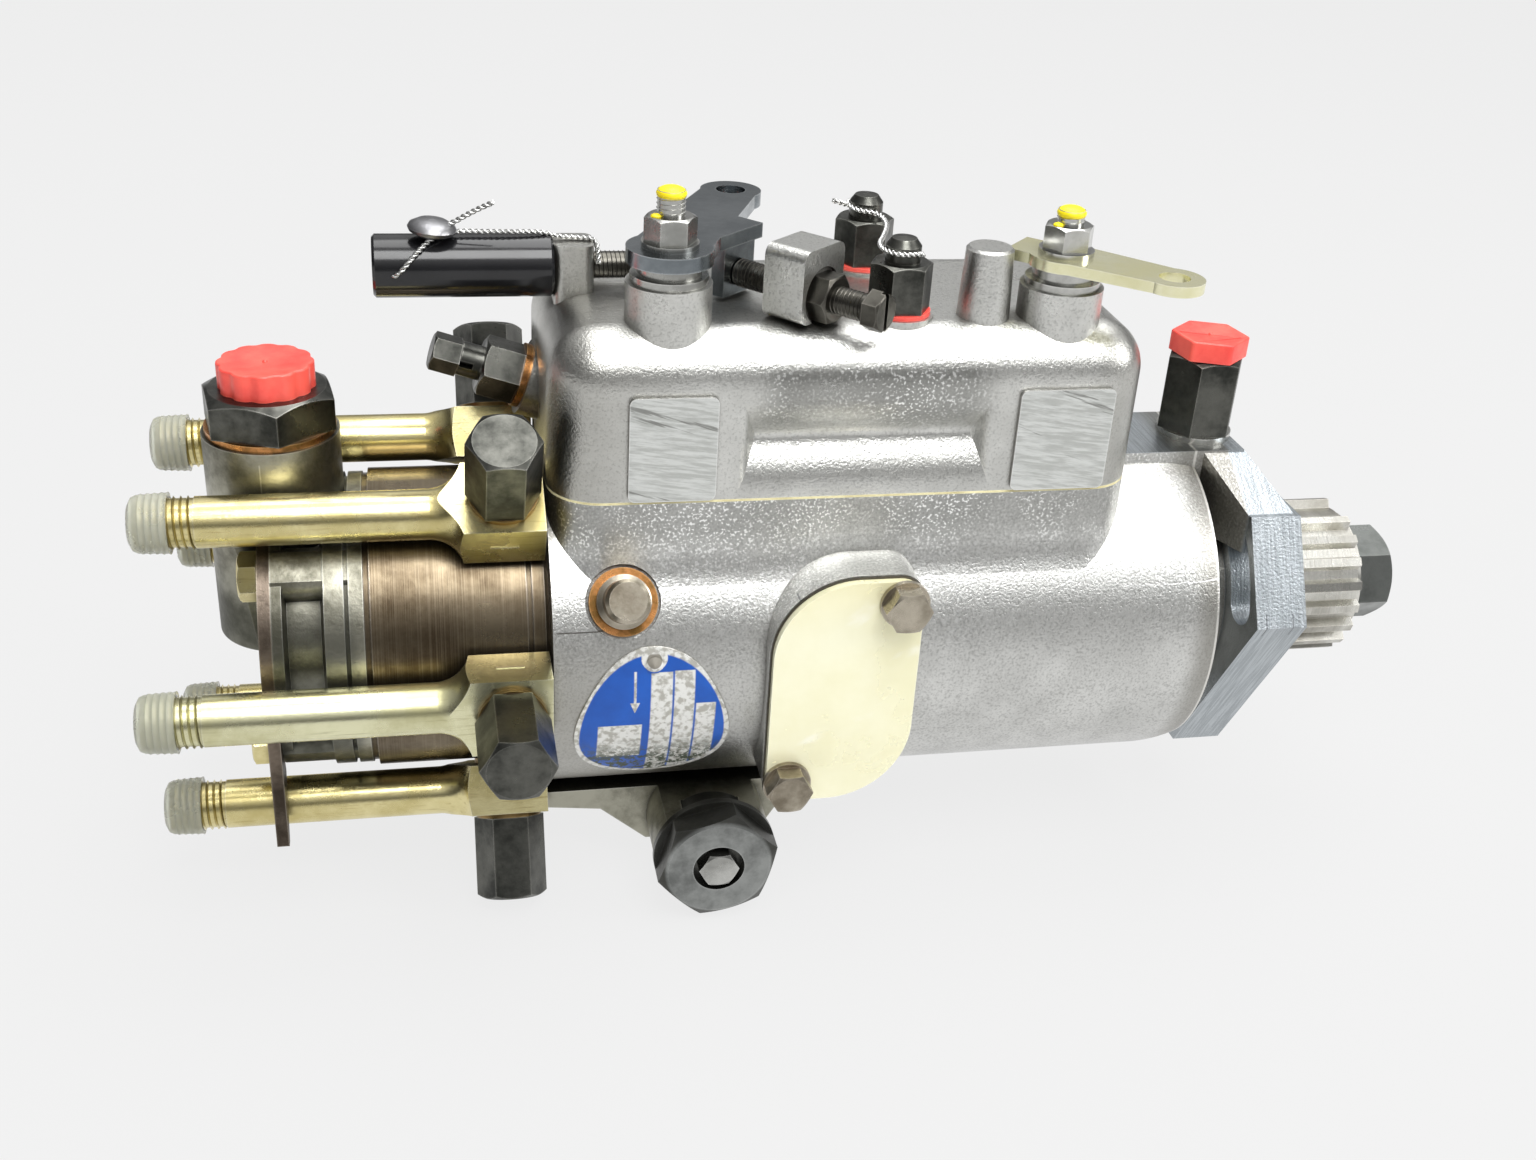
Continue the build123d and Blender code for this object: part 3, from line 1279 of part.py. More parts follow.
def lever_fittings(at, boss_top, lever_bottom, lever_thickness, clamp_gap):
    """The seal ring and washer under a lever, and the washer and nut over it."""
    inner = control_shaft_diameter + 2 * seat_gap
    ring_top = boss_top + clamp_gap + 1.7
    fittings = washer((at.X, at.Y, boss_top + clamp_gap), (0, 0, 1), 1.7, 17.0, inner)
    fittings += washer((at.X, at.Y, ring_top), (0, 0, 1), lever_bottom - ring_top, 14.0, inner)
    over = lever_bottom + lever_thickness
    stud = control_stud_diameter + 2 * seat_gap
    fittings += washer((at.X, at.Y, over), (0, 0, 1), lever_washer, 12.5, stud)
    nut = hex_head((at.X, at.Y, over + lever_washer), (0, 0, 1), control_nut_height, control_nut_hex)
    fittings += nut - rod((at.X, at.Y, over), (0, 0, 1), 12, stud)
    return fittings


def build_adjusting_screws():
    """The idle and maximum-speed screws, set and locked in their lugs."""
    length = idle_screw_length - 4
    idle = rod(idle_tip, idle_along, length, adjuster_diameter)
    head = hex_head(idle_tip + idle_along * length, idle_along, 4, 8, x_dir=(0, 0, 1))
    slot = frame_at(idle_tip + idle_along * idle_screw_length, idle_along, (0, 0, 1)) * Box(12, 1.2, 2.4)
    head -= slot
    tip_x = throttle_at.X - web_thickness / 2 - clear_gap
    tail_x = max_post_x - max_post_thickness / 2 - sleeve_length + 4
    top_speed = rod((tail_x, max_speed_y, max_speed_z), (1, 0, 0), tip_x - tail_x, adjuster_diameter)
    return idle + head + top_speed + build_idle_locknut()


def build_max_speed_sleeve():
    end_x = max_post_x - max_post_thickness / 2
    start = Vector(end_x - sleeve_length, max_speed_y, max_speed_z)
    r = sleeve_diameter / 2
    sleeve = turned(start, (1, 0, 0), (0, 0), (r - 0.6, 0), (r, 0.6), (r, sleeve_length - 0.6),
                    (r - 0.6, sleeve_length), (0, sleeve_length))
    return sleeve - rod(start + Vector(4 - clear_gap, 0, 0), (1, 0, 0), sleeve_length,
                        adjuster_diameter + 2 * seat_gap)


def build_idle_locknut():
    seat = idle_tip + idle_along * (idle_lug_start + idle_lug_length - idle_lug_spot)
    flat_up = (-idle_along.Y, idle_along.X, 0)
    nut = hex_head(seat, idle_along, locknut_height, locknut_hex, x_dir=flat_up)
    return nut - rod(seat, idle_along, locknut_height + 1, adjuster_diameter + 2 * seat_gap)


# ---------------------------------------------------------------- all nodes
nodes = {
    "pump_housing": build_housing(),
    "governor_cover": build_cover(),
    "cover_gasket": build_cover_gasket(),
    "cover_screws": build_cover_screws(),
    "cover_screw_washers": build_cover_washers(),
    "inspection_cover": build_window_cover(),
    "inspection_gasket": build_window_gasket(),
    "inspection_screws": build_window_screws(),
    "name_plate": build_name_plate(),
    "hydraulic_head": build_head(),
    "banjo_bolts": build_banjo_bolts(),
    "banjo_washers": build_banjo_washers(),
    "outlet_caps": build_outlet_caps(),
    "head_locking_screws": build_lock_screws(),
    "copper_washers": build_copper_washers(),
    "end_plate": build_end_plate(),
    "end_plate_screws": build_end_screws(),
    "end_keep_plate": build_keep_plate(),
    "inlet_union": build_inlet_union(),
    "blanking_caps": build_blanking_caps(),
    "vent_body": build_vent_body(),
    "vent_screw": build_vent_screw(),
    "leak_off_union": build_leak_off(),
    "leak_off_washer": build_leak_washer(),
    "advance_housing": build_advance_body(),
    "advance_cap": build_advance_cap(),
    "advance_cap_screw": build_advance_cap_screw(),
    "advance_piston": build_advance_piston(),
    "advance_spring": build_advance_spring(),
    "cam_ring": build_cam_ring(),
    "drive_shaft": build_drive_shaft(),
    "drive_hub": build_drive_hub(),
    "drive_bolt": build_drive_bolt(),
    "weight_retainer": build_retainer(),
    "thrust_sleeve": build_thrust_sleeve(),
    "pumping_rotor": build_rotor(),
    "transfer_rotor": build_transfer_rotor(),
    "plunger_1": build_plunger(1),
    "plunger_2": build_plunger(-1),
    "governor_arm": build_governor_arm(),
    "governor_spring": build_governor_spring(),
    "metering_valve": build_metering_valve(),
    "throttle_shaft": build_throttle_shaft(),
    "throttle_lever": build_throttle_lever(),
    "throttle_fittings": lever_fittings(throttle_at, throttle_boss_top, throttle_lever_bottom,
                                        throttle_lever_thickness, 0.05),
    "shut_off_shaft": build_shut_off_shaft(),
    "shut_off_lever": build_shut_off_lever(),
    "shut_off_fittings": lever_fittings(shut_off_at, shut_off_boss_top, shut_off_lever_bottom,
                                        shut_off_lever_thickness, 0.05),
    "adjusting_screws": build_adjusting_screws(),
    "max_speed_sleeve": build_max_speed_sleeve(),
}
for number, angle in enumerate(outlet_angles, 1):
    nodes[f"outlet_adaptor_{number}"] = build_adaptor(angle)
for number in range(weight_count):
    nodes[f"governor_weight_{number + 1}"] = build_weight(number)

os.makedirs("parts", exist_ok=True)
for name, shape in nodes.items():
    export_step(shape, f"parts/{name}.step")
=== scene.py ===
from math import atan2, cos, pi, radians, sin, tau

import bmesh
import bpy
from mathutils import Matrix, Vector


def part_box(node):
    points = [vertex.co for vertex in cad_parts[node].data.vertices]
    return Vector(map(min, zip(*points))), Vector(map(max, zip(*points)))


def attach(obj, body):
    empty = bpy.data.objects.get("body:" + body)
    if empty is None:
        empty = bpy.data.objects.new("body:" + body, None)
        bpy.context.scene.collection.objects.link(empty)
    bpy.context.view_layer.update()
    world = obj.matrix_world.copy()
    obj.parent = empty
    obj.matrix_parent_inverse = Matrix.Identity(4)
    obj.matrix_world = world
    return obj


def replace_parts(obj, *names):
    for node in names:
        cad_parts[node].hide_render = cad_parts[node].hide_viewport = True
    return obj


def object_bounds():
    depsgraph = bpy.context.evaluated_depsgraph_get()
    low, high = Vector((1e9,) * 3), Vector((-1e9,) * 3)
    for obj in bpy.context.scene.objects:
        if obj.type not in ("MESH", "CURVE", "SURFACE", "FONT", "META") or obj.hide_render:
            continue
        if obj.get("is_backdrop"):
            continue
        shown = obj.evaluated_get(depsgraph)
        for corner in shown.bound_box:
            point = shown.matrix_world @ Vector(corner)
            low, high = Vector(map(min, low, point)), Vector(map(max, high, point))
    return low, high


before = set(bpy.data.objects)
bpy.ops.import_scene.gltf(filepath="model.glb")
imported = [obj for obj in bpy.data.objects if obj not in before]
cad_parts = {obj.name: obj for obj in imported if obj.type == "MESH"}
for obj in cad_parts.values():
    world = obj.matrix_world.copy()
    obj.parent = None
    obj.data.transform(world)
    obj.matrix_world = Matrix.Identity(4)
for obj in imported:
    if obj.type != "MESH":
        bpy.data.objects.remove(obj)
cad_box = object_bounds()

# ------------------------------------------------------------------ pump housing
# The barrel housing, its flange and the leak-off pad are one sand casting in aluminium.
# The skin is blasted; painted glints stand on its dull grey, and the flange is milled smooth.


def tint(red, green, blue):
    """A colour given as the eye sees it, 0 to 255, turned into light values."""
    parts = [channel / 255 for channel in (red, green, blue)]
    light = [part / 12.92 if part < 0.04045 else ((part + 0.055) / 1.055) ** 2.4 for part in parts]
    return (*light, 1.0)


def add(tree, kind, links=(), **settings):
    """Places one shader node; links names an input and what feeds it, or its value."""
    made = tree.nodes.new(kind)
    for name, value in settings.items():
        setattr(made, name, value)
    for socket, source in dict(links).items():
        entry = made.inputs[socket]
        if isinstance(source, bpy.types.NodeSocket):
            tree.links.new(source, entry)
        else:
            entry.default_value = source
    return made


def calc(tree, operation, first, second=0.0):
    """One sum on two values or sockets."""
    return add(tree, "ShaderNodeMath", {0: first, 1: second}, operation=operation).outputs[0]


def times(tree, first, *others):
    """Masks and shares multiplied together."""
    for other in others:
        first = calc(tree, "MULTIPLY", first, other)
    return first


def between(tree, value, start, stop, low=0.0, high=1.0):
    """A smooth ramp from low to high as a value goes from start to stop."""
    links = {"Value": value, "From Min": start, "From Max": stop, "To Min": low, "To Max": high}
    return add(tree, "ShaderNodeMapRange", links, interpolation_type="SMOOTHSTEP").outputs[0]


def line_at(tree, value, middle, half=0.0001, fade=0.0001):
    """A mask for a thin line where a value passes a middle."""
    away = calc(tree, "ABSOLUTE", calc(tree, "SUBTRACT", value, middle))
    return between(tree, away, half + fade, half)


def noise(tree, spot, scale, detail, roughness=0.5):
    """A cloudy pattern on a coordinate; the scale is in features per metre."""
    links = {"Vector": spot, "Scale": scale, "Detail": detail, "Roughness": roughness}
    return add(tree, "ShaderNodeTexNoise", links).outputs["Fac"]


def weigh(tree, share, first, second):
    """Two values mixed by a share."""
    return add(tree, "ShaderNodeMix", {0: share, 2: first, 3: second}, data_type="FLOAT").outputs[0]


def blend(tree, share, first, second):
    """Two colours mixed by a share; each is a socket, or its red, green and blue."""
    first, second = (tint(*colour) if isinstance(colour, tuple) else colour for colour in (first, second))
    return add(tree, "ShaderNodeMix", {0: share, 6: first, 7: second}, data_type="RGBA").outputs[2]


def effect(name, inputs, outputs):
    """An empty shader node group, with its input and output nodes."""
    group = bpy.data.node_groups.new(name, "ShaderNodeTree")
    for socket, kind, value in inputs:
        made = group.interface.new_socket(socket, in_out="INPUT", socket_type=kind)
        if value is not None:
            made.default_value = value
    for socket in outputs:
        group.interface.new_socket(socket, in_out="OUTPUT", socket_type="NodeSocketFloat")
    return group, group.nodes.new("NodeGroupInput").outputs, group.nodes.new("NodeGroupOutput").inputs


# Cloudy tone, fine grain and painted glints of a metal skin
skin, skin_in, skin_out = effect(
    "weathered_skin_with_glints",
    [("Vector", "NodeSocketVector", None), ("Scale", "NodeSocketFloat", 900.0)],
    ["Tone", "Grain", "Glints"],
)
skin_spot = skin_in["Vector"]
skin_scale = skin_in["Scale"]
tone = noise(skin, skin_spot, calc(skin, "MULTIPLY", skin_scale, 0.05), 6.0, 0.65)
skin.links.new(tone, skin_out["Tone"])
skin.links.new(noise(skin, skin_spot, skin_scale, 4.0, 0.6), skin_out["Grain"])
glint = between(skin, noise(skin, skin_spot, skin_scale, 1.0), 0.58, 0.64)
patch = noise(skin, skin_spot, calc(skin, "MULTIPLY", skin_scale, 0.03), 3.0)
skin.links.new(times(skin, glint, between(skin, patch, 0.38, 0.6, 0.2, 1.0)), skin_out["Glints"])

# Sharp edges: rubbed bare on most finishes, and given a painted highlight along the cover's milled pads
sharp_edges, sharp_edges_in, sharp_edges_out = effect("worn_and_lit_edges", [("Width", "NodeSocketFloat", 0.0006)], ["Edge"])
soft_face = add(sharp_edges, "ShaderNodeBevel", {"Radius": sharp_edges_in["Width"]}, samples=4).outputs[0]
true_face = add(sharp_edges, "ShaderNodeNewGeometry").outputs["Normal"]
agree = add(sharp_edges, "ShaderNodeVectorMath", {0: soft_face, 1: true_face}, operation="DOT_PRODUCT")
sharp_edges.links.new(between(sharp_edges, agree.outputs["Value"], 0.99, 0.8), sharp_edges_out["Edge"])

# Painted shade that settles in corners and closed-in places
corner_shade_group, corner_shade_in, corner_shade_out = effect("painted_corner_shade", [("Reach", "NodeSocketFloat", 0.005)], ["Dirt"])
closed = add(corner_shade_group, "ShaderNodeAmbientOcclusion", {"Distance": corner_shade_in["Reach"]}, samples=8)
corner_shade_group.links.new(between(corner_shade_group, closed.outputs["AO"], 0.78, 0.3), corner_shade_out["Dirt"])


tone_spread = (0.34, 0.66)
gloss_spread = (0.3, 0.7)


def metal(name, light, dark, edge, rough, scale=900.0, depth=0.00008, metallic=1.0, wear=0.5):
    """A worked or cast skin: cloudy tone, fine grain and rubbed edges; rough is its least and most."""
    made = bpy.data.materials.new(name)
    made.use_nodes = True
    tree = made.node_tree
    shader = tree.nodes["Principled BSDF"].inputs
    spot = add(tree, "ShaderNodeTexCoord").outputs["Object"]
    look = add(tree, "ShaderNodeGroup", {"Vector": spot, "Scale": scale}, node_tree=skin)
    look.name = "Skin"
    tone = look.outputs["Tone"]
    bare = add(tree, "ShaderNodeGroup", node_tree=sharp_edges).outputs["Edge"]
    body = blend(tree, between(tree, tone, *tone_spread), dark, light)
    tree.links.new(blend(tree, times(tree, bare, wear), body, edge), shader["Base Color"])
    tree.links.new(between(tree, tone, *gloss_spread, rough[1], rough[0]), shader["Roughness"])
    shader["Metallic"].default_value = metallic
    links = {"Height": look.outputs["Grain"], "Strength": 0.7, "Distance": depth}
    tree.links.new(add(tree, "ShaderNodeBump", links).outputs[0], shader["Normal"])
    return made


def repaint(finish, mask, colour, rough=None, share=1.0):
    """Lays another colour, and a roughness, over a finish where a mask is 1."""
    tree = finish.node_tree
    shader = tree.nodes["Principled BSDF"].inputs
    if share < 1.0:
        mask = times(tree, mask, share)
    under = shader["Base Color"].links[0].from_socket
    tree.links.new(blend(tree, mask, under, colour), shader["Base Color"])
    if rough is not None:
        before = shader["Roughness"].links[0].from_socket
        tree.links.new(weigh(tree, mask, before, rough), shader["Roughness"])


def paint_corner_shade(finish, colour, share, reach=0.005):
    """Paints shade into a finish's corners."""
    shade_mask = add(finish.node_tree, "ShaderNodeGroup", {"Reach": reach}, node_tree=corner_shade_group).outputs["Dirt"]
    repaint(finish, shade_mask, colour, 0.6, share)


def coordinates(finish):
    """A finish's node tree and its three object coordinates: along, across and up."""
    tree = finish.node_tree
    spot = tree.nodes["Texture Coordinate"].outputs["Object"]
    return tree, *add(tree, "ShaderNodeSeparateXYZ", {0: spot}).outputs


def scratches(tree, fineness, stretch, lean=0.0):
    """Fine parallel scratches, leaning about the cross axis."""
    spot = tree.nodes["Texture Coordinate"].outputs["Object"]
    links = {"Vector": spot, "Rotation": (0.0, radians(lean), 0.0), "Scale": stretch}
    turned = add(tree, "ShaderNodeMapping", links, vector_type="TEXTURE")
    return noise(tree, turned.outputs[0], fineness, 3.0, 0.6)


def dress(finish, *names):
    """Gives CAD nodes their finish."""
    for name in names:
        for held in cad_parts[name].material_slots:
            held.material = finish


blasted = metal("blasted_aluminium", (218, 218, 215), (204, 204, 201), (250, 250, 248), (0.3, 0.35),
                scale=1600.0, depth=0.0002, wear=0.25)
tree, along, across, height = coordinates(blasted)
glints = tree.nodes["Skin"].outputs["Glints"]
grain = tree.nodes["Skin"].outputs["Grain"]
dark_grain = (130, 130, 127)
glint_white = (255, 255, 253)
repaint(blasted, between(tree, grain, 0.52, 0.34, 0.0, 0.4), dark_grain)

# Painted glints thin out down the barrel; painted shade lies under the cover joint and on the lower side
# towards the head
glint_rise = (0.004, 0.034)
joint_shade_rise = (0.029, 0.037)
joint_shade_start = (-0.040, -0.050)
head_shade_start = (-0.130, -0.172)
head_shade_drop = (0.024, -0.006)
# Painted glints, brighter higher up the barrel
repaint(blasted, times(tree, glints, between(tree, height, *glint_rise, 0.12, 1.0)), glint_white, 0.3)
# Painted shade below the cover joint, kept off the glints
joint_shade = times(tree, between(tree, height, *joint_shade_rise, 0.0, 0.4),
                    between(tree, along, *joint_shade_start), between(tree, glints, 0.5, 0.1))
repaint(blasted, joint_shade, (112, 112, 108))
# Painted shade on the lower side towards the head end
head_end_shade = times(tree, between(tree, along, *head_shade_start, 0.0, 0.6),
                   between(tree, height, *head_shade_drop))
repaint(blasted, head_end_shade, (142, 139, 130))

# The flange and the top of the leak-off pad are milled
flange_back = -0.0132
flange_edge = 0.0002
pad_top = 0.0429
pad_back = (-0.0455, -0.0450)
cutter_fineness = 2200.0
on_flange = between(tree, along, flange_back - flange_edge, flange_back + flange_edge)
on_pad = times(tree, between(tree, height, pad_top - 0.0001, pad_top), between(tree, along, *pad_back))
lay = scratches(tree, cutter_fineness, (1.0, 30.0, 30.0))
milled_grey = blend(tree, between(tree, lay, 0.4, 0.62), (162, 168, 172), (188, 194, 198))
repaint(blasted, calc(tree, "MAXIMUM", on_flange, on_pad), milled_grey, 0.32)

# Scribed lines on the flange's front corner flat
corner_flat = (-0.0412, -0.0415)
scribed_lines = ((along, -0.0105), (along, -0.0035), (height, 0.0240))
for direction, place in scribed_lines:
    mark = times(tree, line_at(tree, direction, place), between(tree, across, *corner_flat))
    repaint(blasted, mark, (92, 94, 96), share=0.7)

# Painted shade on the neck behind the flange, a painted highlight on its one turned line, and two parting
# lines of the casting
neck = (-0.0310, -0.0235)
neck_end = (-0.0130, -0.0134)
neck_line = -0.0218
neck_line_half = 0.0002
neck_line_fade = 0.0003
parting_side = (-0.0300, -0.0305)
parting_fade = 0.001
# Each parting line's level, where it starts and stops, and its colour
parting_lines = (
    (0.0152, -0.1820, -0.1700, (120, 118, 112)),
    (0.0196, -0.0480, -0.0190, (250, 250, 248)),
)
neck_shade = times(tree, between(tree, along, *neck), between(tree, along, *neck_end))
repaint(blasted, neck_shade, (126, 122, 112), share=0.6)
# A painted highlight where the turned ridge catches the light
neck_highlight = line_at(tree, along, neck_line, neck_line_half, neck_line_fade)
repaint(blasted, neck_highlight, (238, 236, 230), share=0.8)
for level, start, stop, shade in parting_lines:
    run = times(tree, between(tree, along, start, start + parting_fade),
                between(tree, along, stop, stop - parting_fade), between(tree, across, *parting_side))
    repaint(blasted, times(tree, line_at(tree, height, level), run), shade)
# Colour of the painted shade in the casting's corners
casting_corner_shade = (78, 74, 66)
paint_corner_shade(blasted, casting_corner_shade, 0.8)
dress(blasted, "pump_housing")

# ------------------------------------------------------------------ governor cover
# A die casting with a coarse, bright skin over its paper gasket.
# Its two side pads are milled flat and carry slanting cutter scratches.
die_cast = metal("die_cast_cover", (220, 220, 216), (206, 206, 202), (252, 252, 250), (0.27, 0.32),
                 scale=1500.0, depth=0.0002, wear=0.3)
tree, along, across, height = coordinates(die_cast)
glints = tree.nodes["Skin"].outputs["Glints"]
grain = tree.nodes["Skin"].outputs["Grain"]
repaint(die_cast, between(tree, grain, 0.5, 0.34, 0.0, 0.35), (136, 136, 132))

# Painted shade on both ends and on the roof of the scoop between the pads, which also carries painted glints
head_end = (-0.1480, -0.1760)
drive_end = (-0.0640, -0.0500)
scoop_start = (-0.1400, -0.1300)
scoop_stop = (-0.0800, -0.0900)
scoop_floor = (0.0560, 0.0640)
scoop_lip = (0.0760, 0.0720)
end_shade = calc(tree, "MAXIMUM", between(tree, along, *head_end), between(tree, along, *drive_end))
repaint(die_cast, end_shade, (138, 135, 126), share=0.4)
scoop_roof_shade = times(tree, between(tree, along, *scoop_start), between(tree, along, *scoop_stop),
                   between(tree, height, *scoop_floor), between(tree, height, *scoop_lip))
repaint(die_cast, scoop_roof_shade, (104, 104, 100), share=0.55)
repaint(die_cast, times(tree, glints, scoop_roof_shade), glint_white, 0.3)

pad_face = -0.0329
pad_depth = 0.00005
pad_edge = (pad_face + 0.0008, pad_face + 0.0006)
lay = scratches(tree, 1500.0, (10.0, 1.0, 1.0), lean=8)
deep_cuts = between(tree, scratches(tree, 500.0, (14.0, 1.0, 1.0), lean=20), 0.36, 0.31)
milled = blend(tree, between(tree, lay, 0.36, 0.64), (200, 202, 198), (230, 232, 229))
milled = blend(tree, times(tree, deep_cuts, 0.75), milled, (128, 128, 124))
repaint(die_cast, between(tree, across, pad_face, pad_face - pad_depth), milled, 0.38)
# A painted highlight along the pads' top and side edges
pad_edge_highlight = add(tree, "ShaderNodeGroup", node_tree=sharp_edges).outputs["Edge"]
repaint(die_cast, times(tree, between(tree, across, *pad_edge), pad_edge_highlight), (250, 250, 248), share=0.9)
# Painted shade in the cover's corners
paint_corner_shade(die_cast, casting_corner_shade, 0.8)
dress(die_cast, "governor_cover")
pressed_paper = metal("pressed_paper", (232, 224, 176), (190, 178, 128), (240, 236, 206), (0.7, 0.85),
                      scale=2500.0, depth=0.00003, metallic=0.0)
dress(pressed_paper, "cover_gasket")

# ------------------------------------------------------------------ hydraulic head
# The steel head plugs into the housing's end, held by two locking screws, and carries the outlets.
# It is turned and oiled to a dark brown, so its lathe lines run round the pump axis.
turning, turning_in, turning_out = effect(
    "turning_marks",
    [("Vector", "NodeSocketVector", None), ("Fineness", "NodeSocketFloat", 4000.0)],
    ["Lines"],
)
cross_section = add(turning, "ShaderNodeVectorMath", {0: turning_in["Vector"], 1: (0.0, 1.0, 1.0)},
                    operation="MULTIPLY")
reach = add(turning, "ShaderNodeVectorMath", {0: cross_section.outputs[0]}, operation="LENGTH")
forward = add(turning, "ShaderNodeSeparateXYZ", {0: turning_in["Vector"]})
rolled = add(turning, "ShaderNodeCombineXYZ", {0: forward.outputs[0], 1: reach.outputs["Value"]})
lathe_lines = noise(turning, rolled.outputs[0], turning_in["Fineness"], 3.0, 0.7)
turning.links.new(lathe_lines, turning_out["Lines"])


def turn(finish, depth, fineness, colour, share):
    """Adds lathe lines round the pump axis, in colour and in relief."""
    tree = finish.node_tree
    spot = tree.nodes["Texture Coordinate"].outputs["Object"]
    marks = add(tree, "ShaderNodeGroup", {"Vector": spot, "Fineness": fineness}, node_tree=turning)
    lines = marks.outputs["Lines"]
    repaint(finish, between(tree, lines, 0.45, 0.7, 0.0, share), colour)
    entry = tree.nodes["Principled BSDF"].inputs["Normal"]
    links = {"Height": lines, "Strength": 1.0, "Distance": depth, "Normal": entry.links[0].from_socket}
    tree.links.new(add(tree, "ShaderNodeBump", links).outputs[0], entry)


oiled_steel = metal("oiled_steel", (128, 116, 96), (74, 62, 47), (205, 196, 184), (0.24, 0.38),
                    scale=700.0, depth=0.00002)
turn(oiled_steel, 0.00004, 3200.0, (150, 138, 118), 0.35)
# Painted shade in the head's corners
paint_corner_shade(oiled_steel, (34, 29, 22), 0.9)
dress(oiled_steel, "hydraulic_head")

# ------------------------------------------------------------------ outlets
# Six forged banjo adaptors, passivated yellow, each held by a black hexagon banjo bolt.
# Their ends are threaded M12 x 1.5 and closed by clear plastic caps pushed over the thread.


def piece(name, bm, finish, body="pump_body", crease=35.0):
    """Makes a finished mesh an object that rides on a body."""
    bmesh.ops.recalc_face_normals(bm, faces=bm.faces)
    for edge in bm.edges:
        edge.smooth = edge.calc_face_angle(pi) < radians(crease)
    for face in bm.faces:
        face.smooth = True
    mesh = bpy.data.meshes.new(name)
    bm.to_mesh(mesh)
    bm.free()
    mesh.materials.append(finish)
    made = bpy.data.objects.new(name, mesh)
    bpy.context.collection.objects.link(made)
    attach(made, body)
    return made


def standing(spot, direction):
    """A placement whose Z points along a direction from a spot."""
    turned = Vector(direction).to_track_quat("Z", "Y").to_matrix().to_4x4()
    return Matrix.Translation(spot) @ turned


# A ridge is a little wider than half its pitch, so that its turns meet
ridge_share = 0.52


def wind_thread(bm, spot, direction, length, crest, pitch, facets=28):
    """Winds a vee ridge round a bar from a spot along a direction."""
    size = pitch * ridge_share
    section = standing(spot, direction) @ Matrix.Translation((crest - size, 0, 0))
    section = section @ Matrix.Rotation(pi / 2, 4, "X") @ Matrix.Rotation(-pi / 2, 4, "Z")
    ridge = bmesh.ops.create_circle(bm, segments=3, radius=size, matrix=section)["verts"]
    loop = list(ridge) + list({edge for vert in ridge for edge in vert.link_edges})
    turns = length / pitch
    steps = round(turns * facets)
    axis = Vector(direction).normalized()
    bmesh.ops.spin(bm, geom=loop, cent=spot, axis=axis, dvec=axis * (length / steps), angle=turns * tau,
                   steps=steps)


def spun(bm, profile, spot, direction, steps):
    """Turns a profile of (radius, height) points into a closed body."""
    at = standing(spot, direction)
    points = [bm.verts.new(at @ Vector((radius, 0, height))) for radius, height in profile]
    chain = [bm.edges.new(pair) for pair in zip(points, points[1:])]
    bmesh.ops.spin(bm, geom=points + chain, cent=at.translation, axis=at.col[2].xyz, angle=tau, steps=steps,
                   use_merge=True)
    bmesh.ops.remove_doubles(bm, verts=bm.verts, dist=1e-7)


def tube_end(name, rim_depth=0.004):
    """The middle of an adaptor's free end, from the corners of its rim."""
    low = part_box(name)[0]
    ring = [vert.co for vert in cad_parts[name].data.vertices if vert.co.x < low.x + rim_depth]
    across = [spot.y for spot in ring]
    up = [spot.z for spot in ring]
    return Vector((low.x, (min(across) + max(across)) / 2, (min(up) + max(up)) / 2))


drawn_gold = metal("gold_zinc", (228, 217, 166), (200, 186, 128), (250, 246, 222), (0.2, 0.32),
                   scale=1000.0, depth=0.00003)
drawn_pale = metal("pale_gold_zinc", (228, 226, 190), (196, 192, 148), (250, 249, 232), (0.22, 0.36),
                   scale=1000.0, depth=0.00003)
for finish, streak in ((drawn_gold, (158, 138, 84)), (drawn_pale, (176, 171, 134))):
    drawn = scratches(finish.node_tree, 1400.0, (16.0, 1.0, 1.0))
    repaint(finish, between(finish.node_tree, drawn, 0.55, 0.75, 0.0, 0.5), streak)
    # Painted shade in the adaptors' corners
    paint_corner_shade(finish, (96, 82, 44), 0.7, 0.004)
pale_outlet = 3
outlets = [f"outlet_adaptor_{number}" for number in range(1, 7)]
dress(drawn_gold, "end_plate_screws", *outlets)
dress(drawn_pale, outlets[pale_outlet - 1])

thread_crest = 0.0059
thread_pitch = 0.0015
thread_run = 0.0117
thread_lead = Vector((0.0004, 0, 0))
for number, name in enumerate(outlets, 1):
    bm = bmesh.new()
    wind_thread(bm, tube_end(name) + thread_lead, (1, 0, 0), thread_run, thread_crest, thread_pitch, 32)
    finish = drawn_pale if number == pale_outlet else drawn_gold
    piece(f"outlet_thread_{number}", bm, finish)

# The clear caps' walls taper a little and ripple over the thread
cap_radius = 0.0067
cap_wall = 0.0006
cap_length = 0.0085
cap_stand_off = 0.0014
cap_taper = 0.0003
ripple_height = 0.00012
ripple_swing = 2.1
ripple_steps = 14
wall_share = 0.78
shoulder = ((0.0008, 0.9), (0.0022, 0.985), (0.004, 1.0))
profile = [(cap_radius - cap_wall, 0.0)]
for step in range(ripple_steps + 1):
    ripple = ripple_height * cos(step * ripple_swing)
    profile.append((cap_radius - cap_taper * step / ripple_steps + ripple,
                    cap_length * wall_share * step / ripple_steps))
profile += [(cap_radius - inward, cap_length * share) for inward, share in shoulder]
profile.append((0.0, cap_length))
clear_plastic = metal("clear_plastic", (236, 238, 222), (222, 224, 204), (250, 250, 244), (0.22, 0.32),
                      scale=800.0, depth=0.00002, metallic=0.0, wear=0.2)
shell = clear_plastic.node_tree.nodes["Principled BSDF"].inputs
shell["Transmission Weight"].default_value = 0.55
shell["IOR"].default_value = 1.3
shell["Alpha"].default_value = 0.8
bm = bmesh.new()
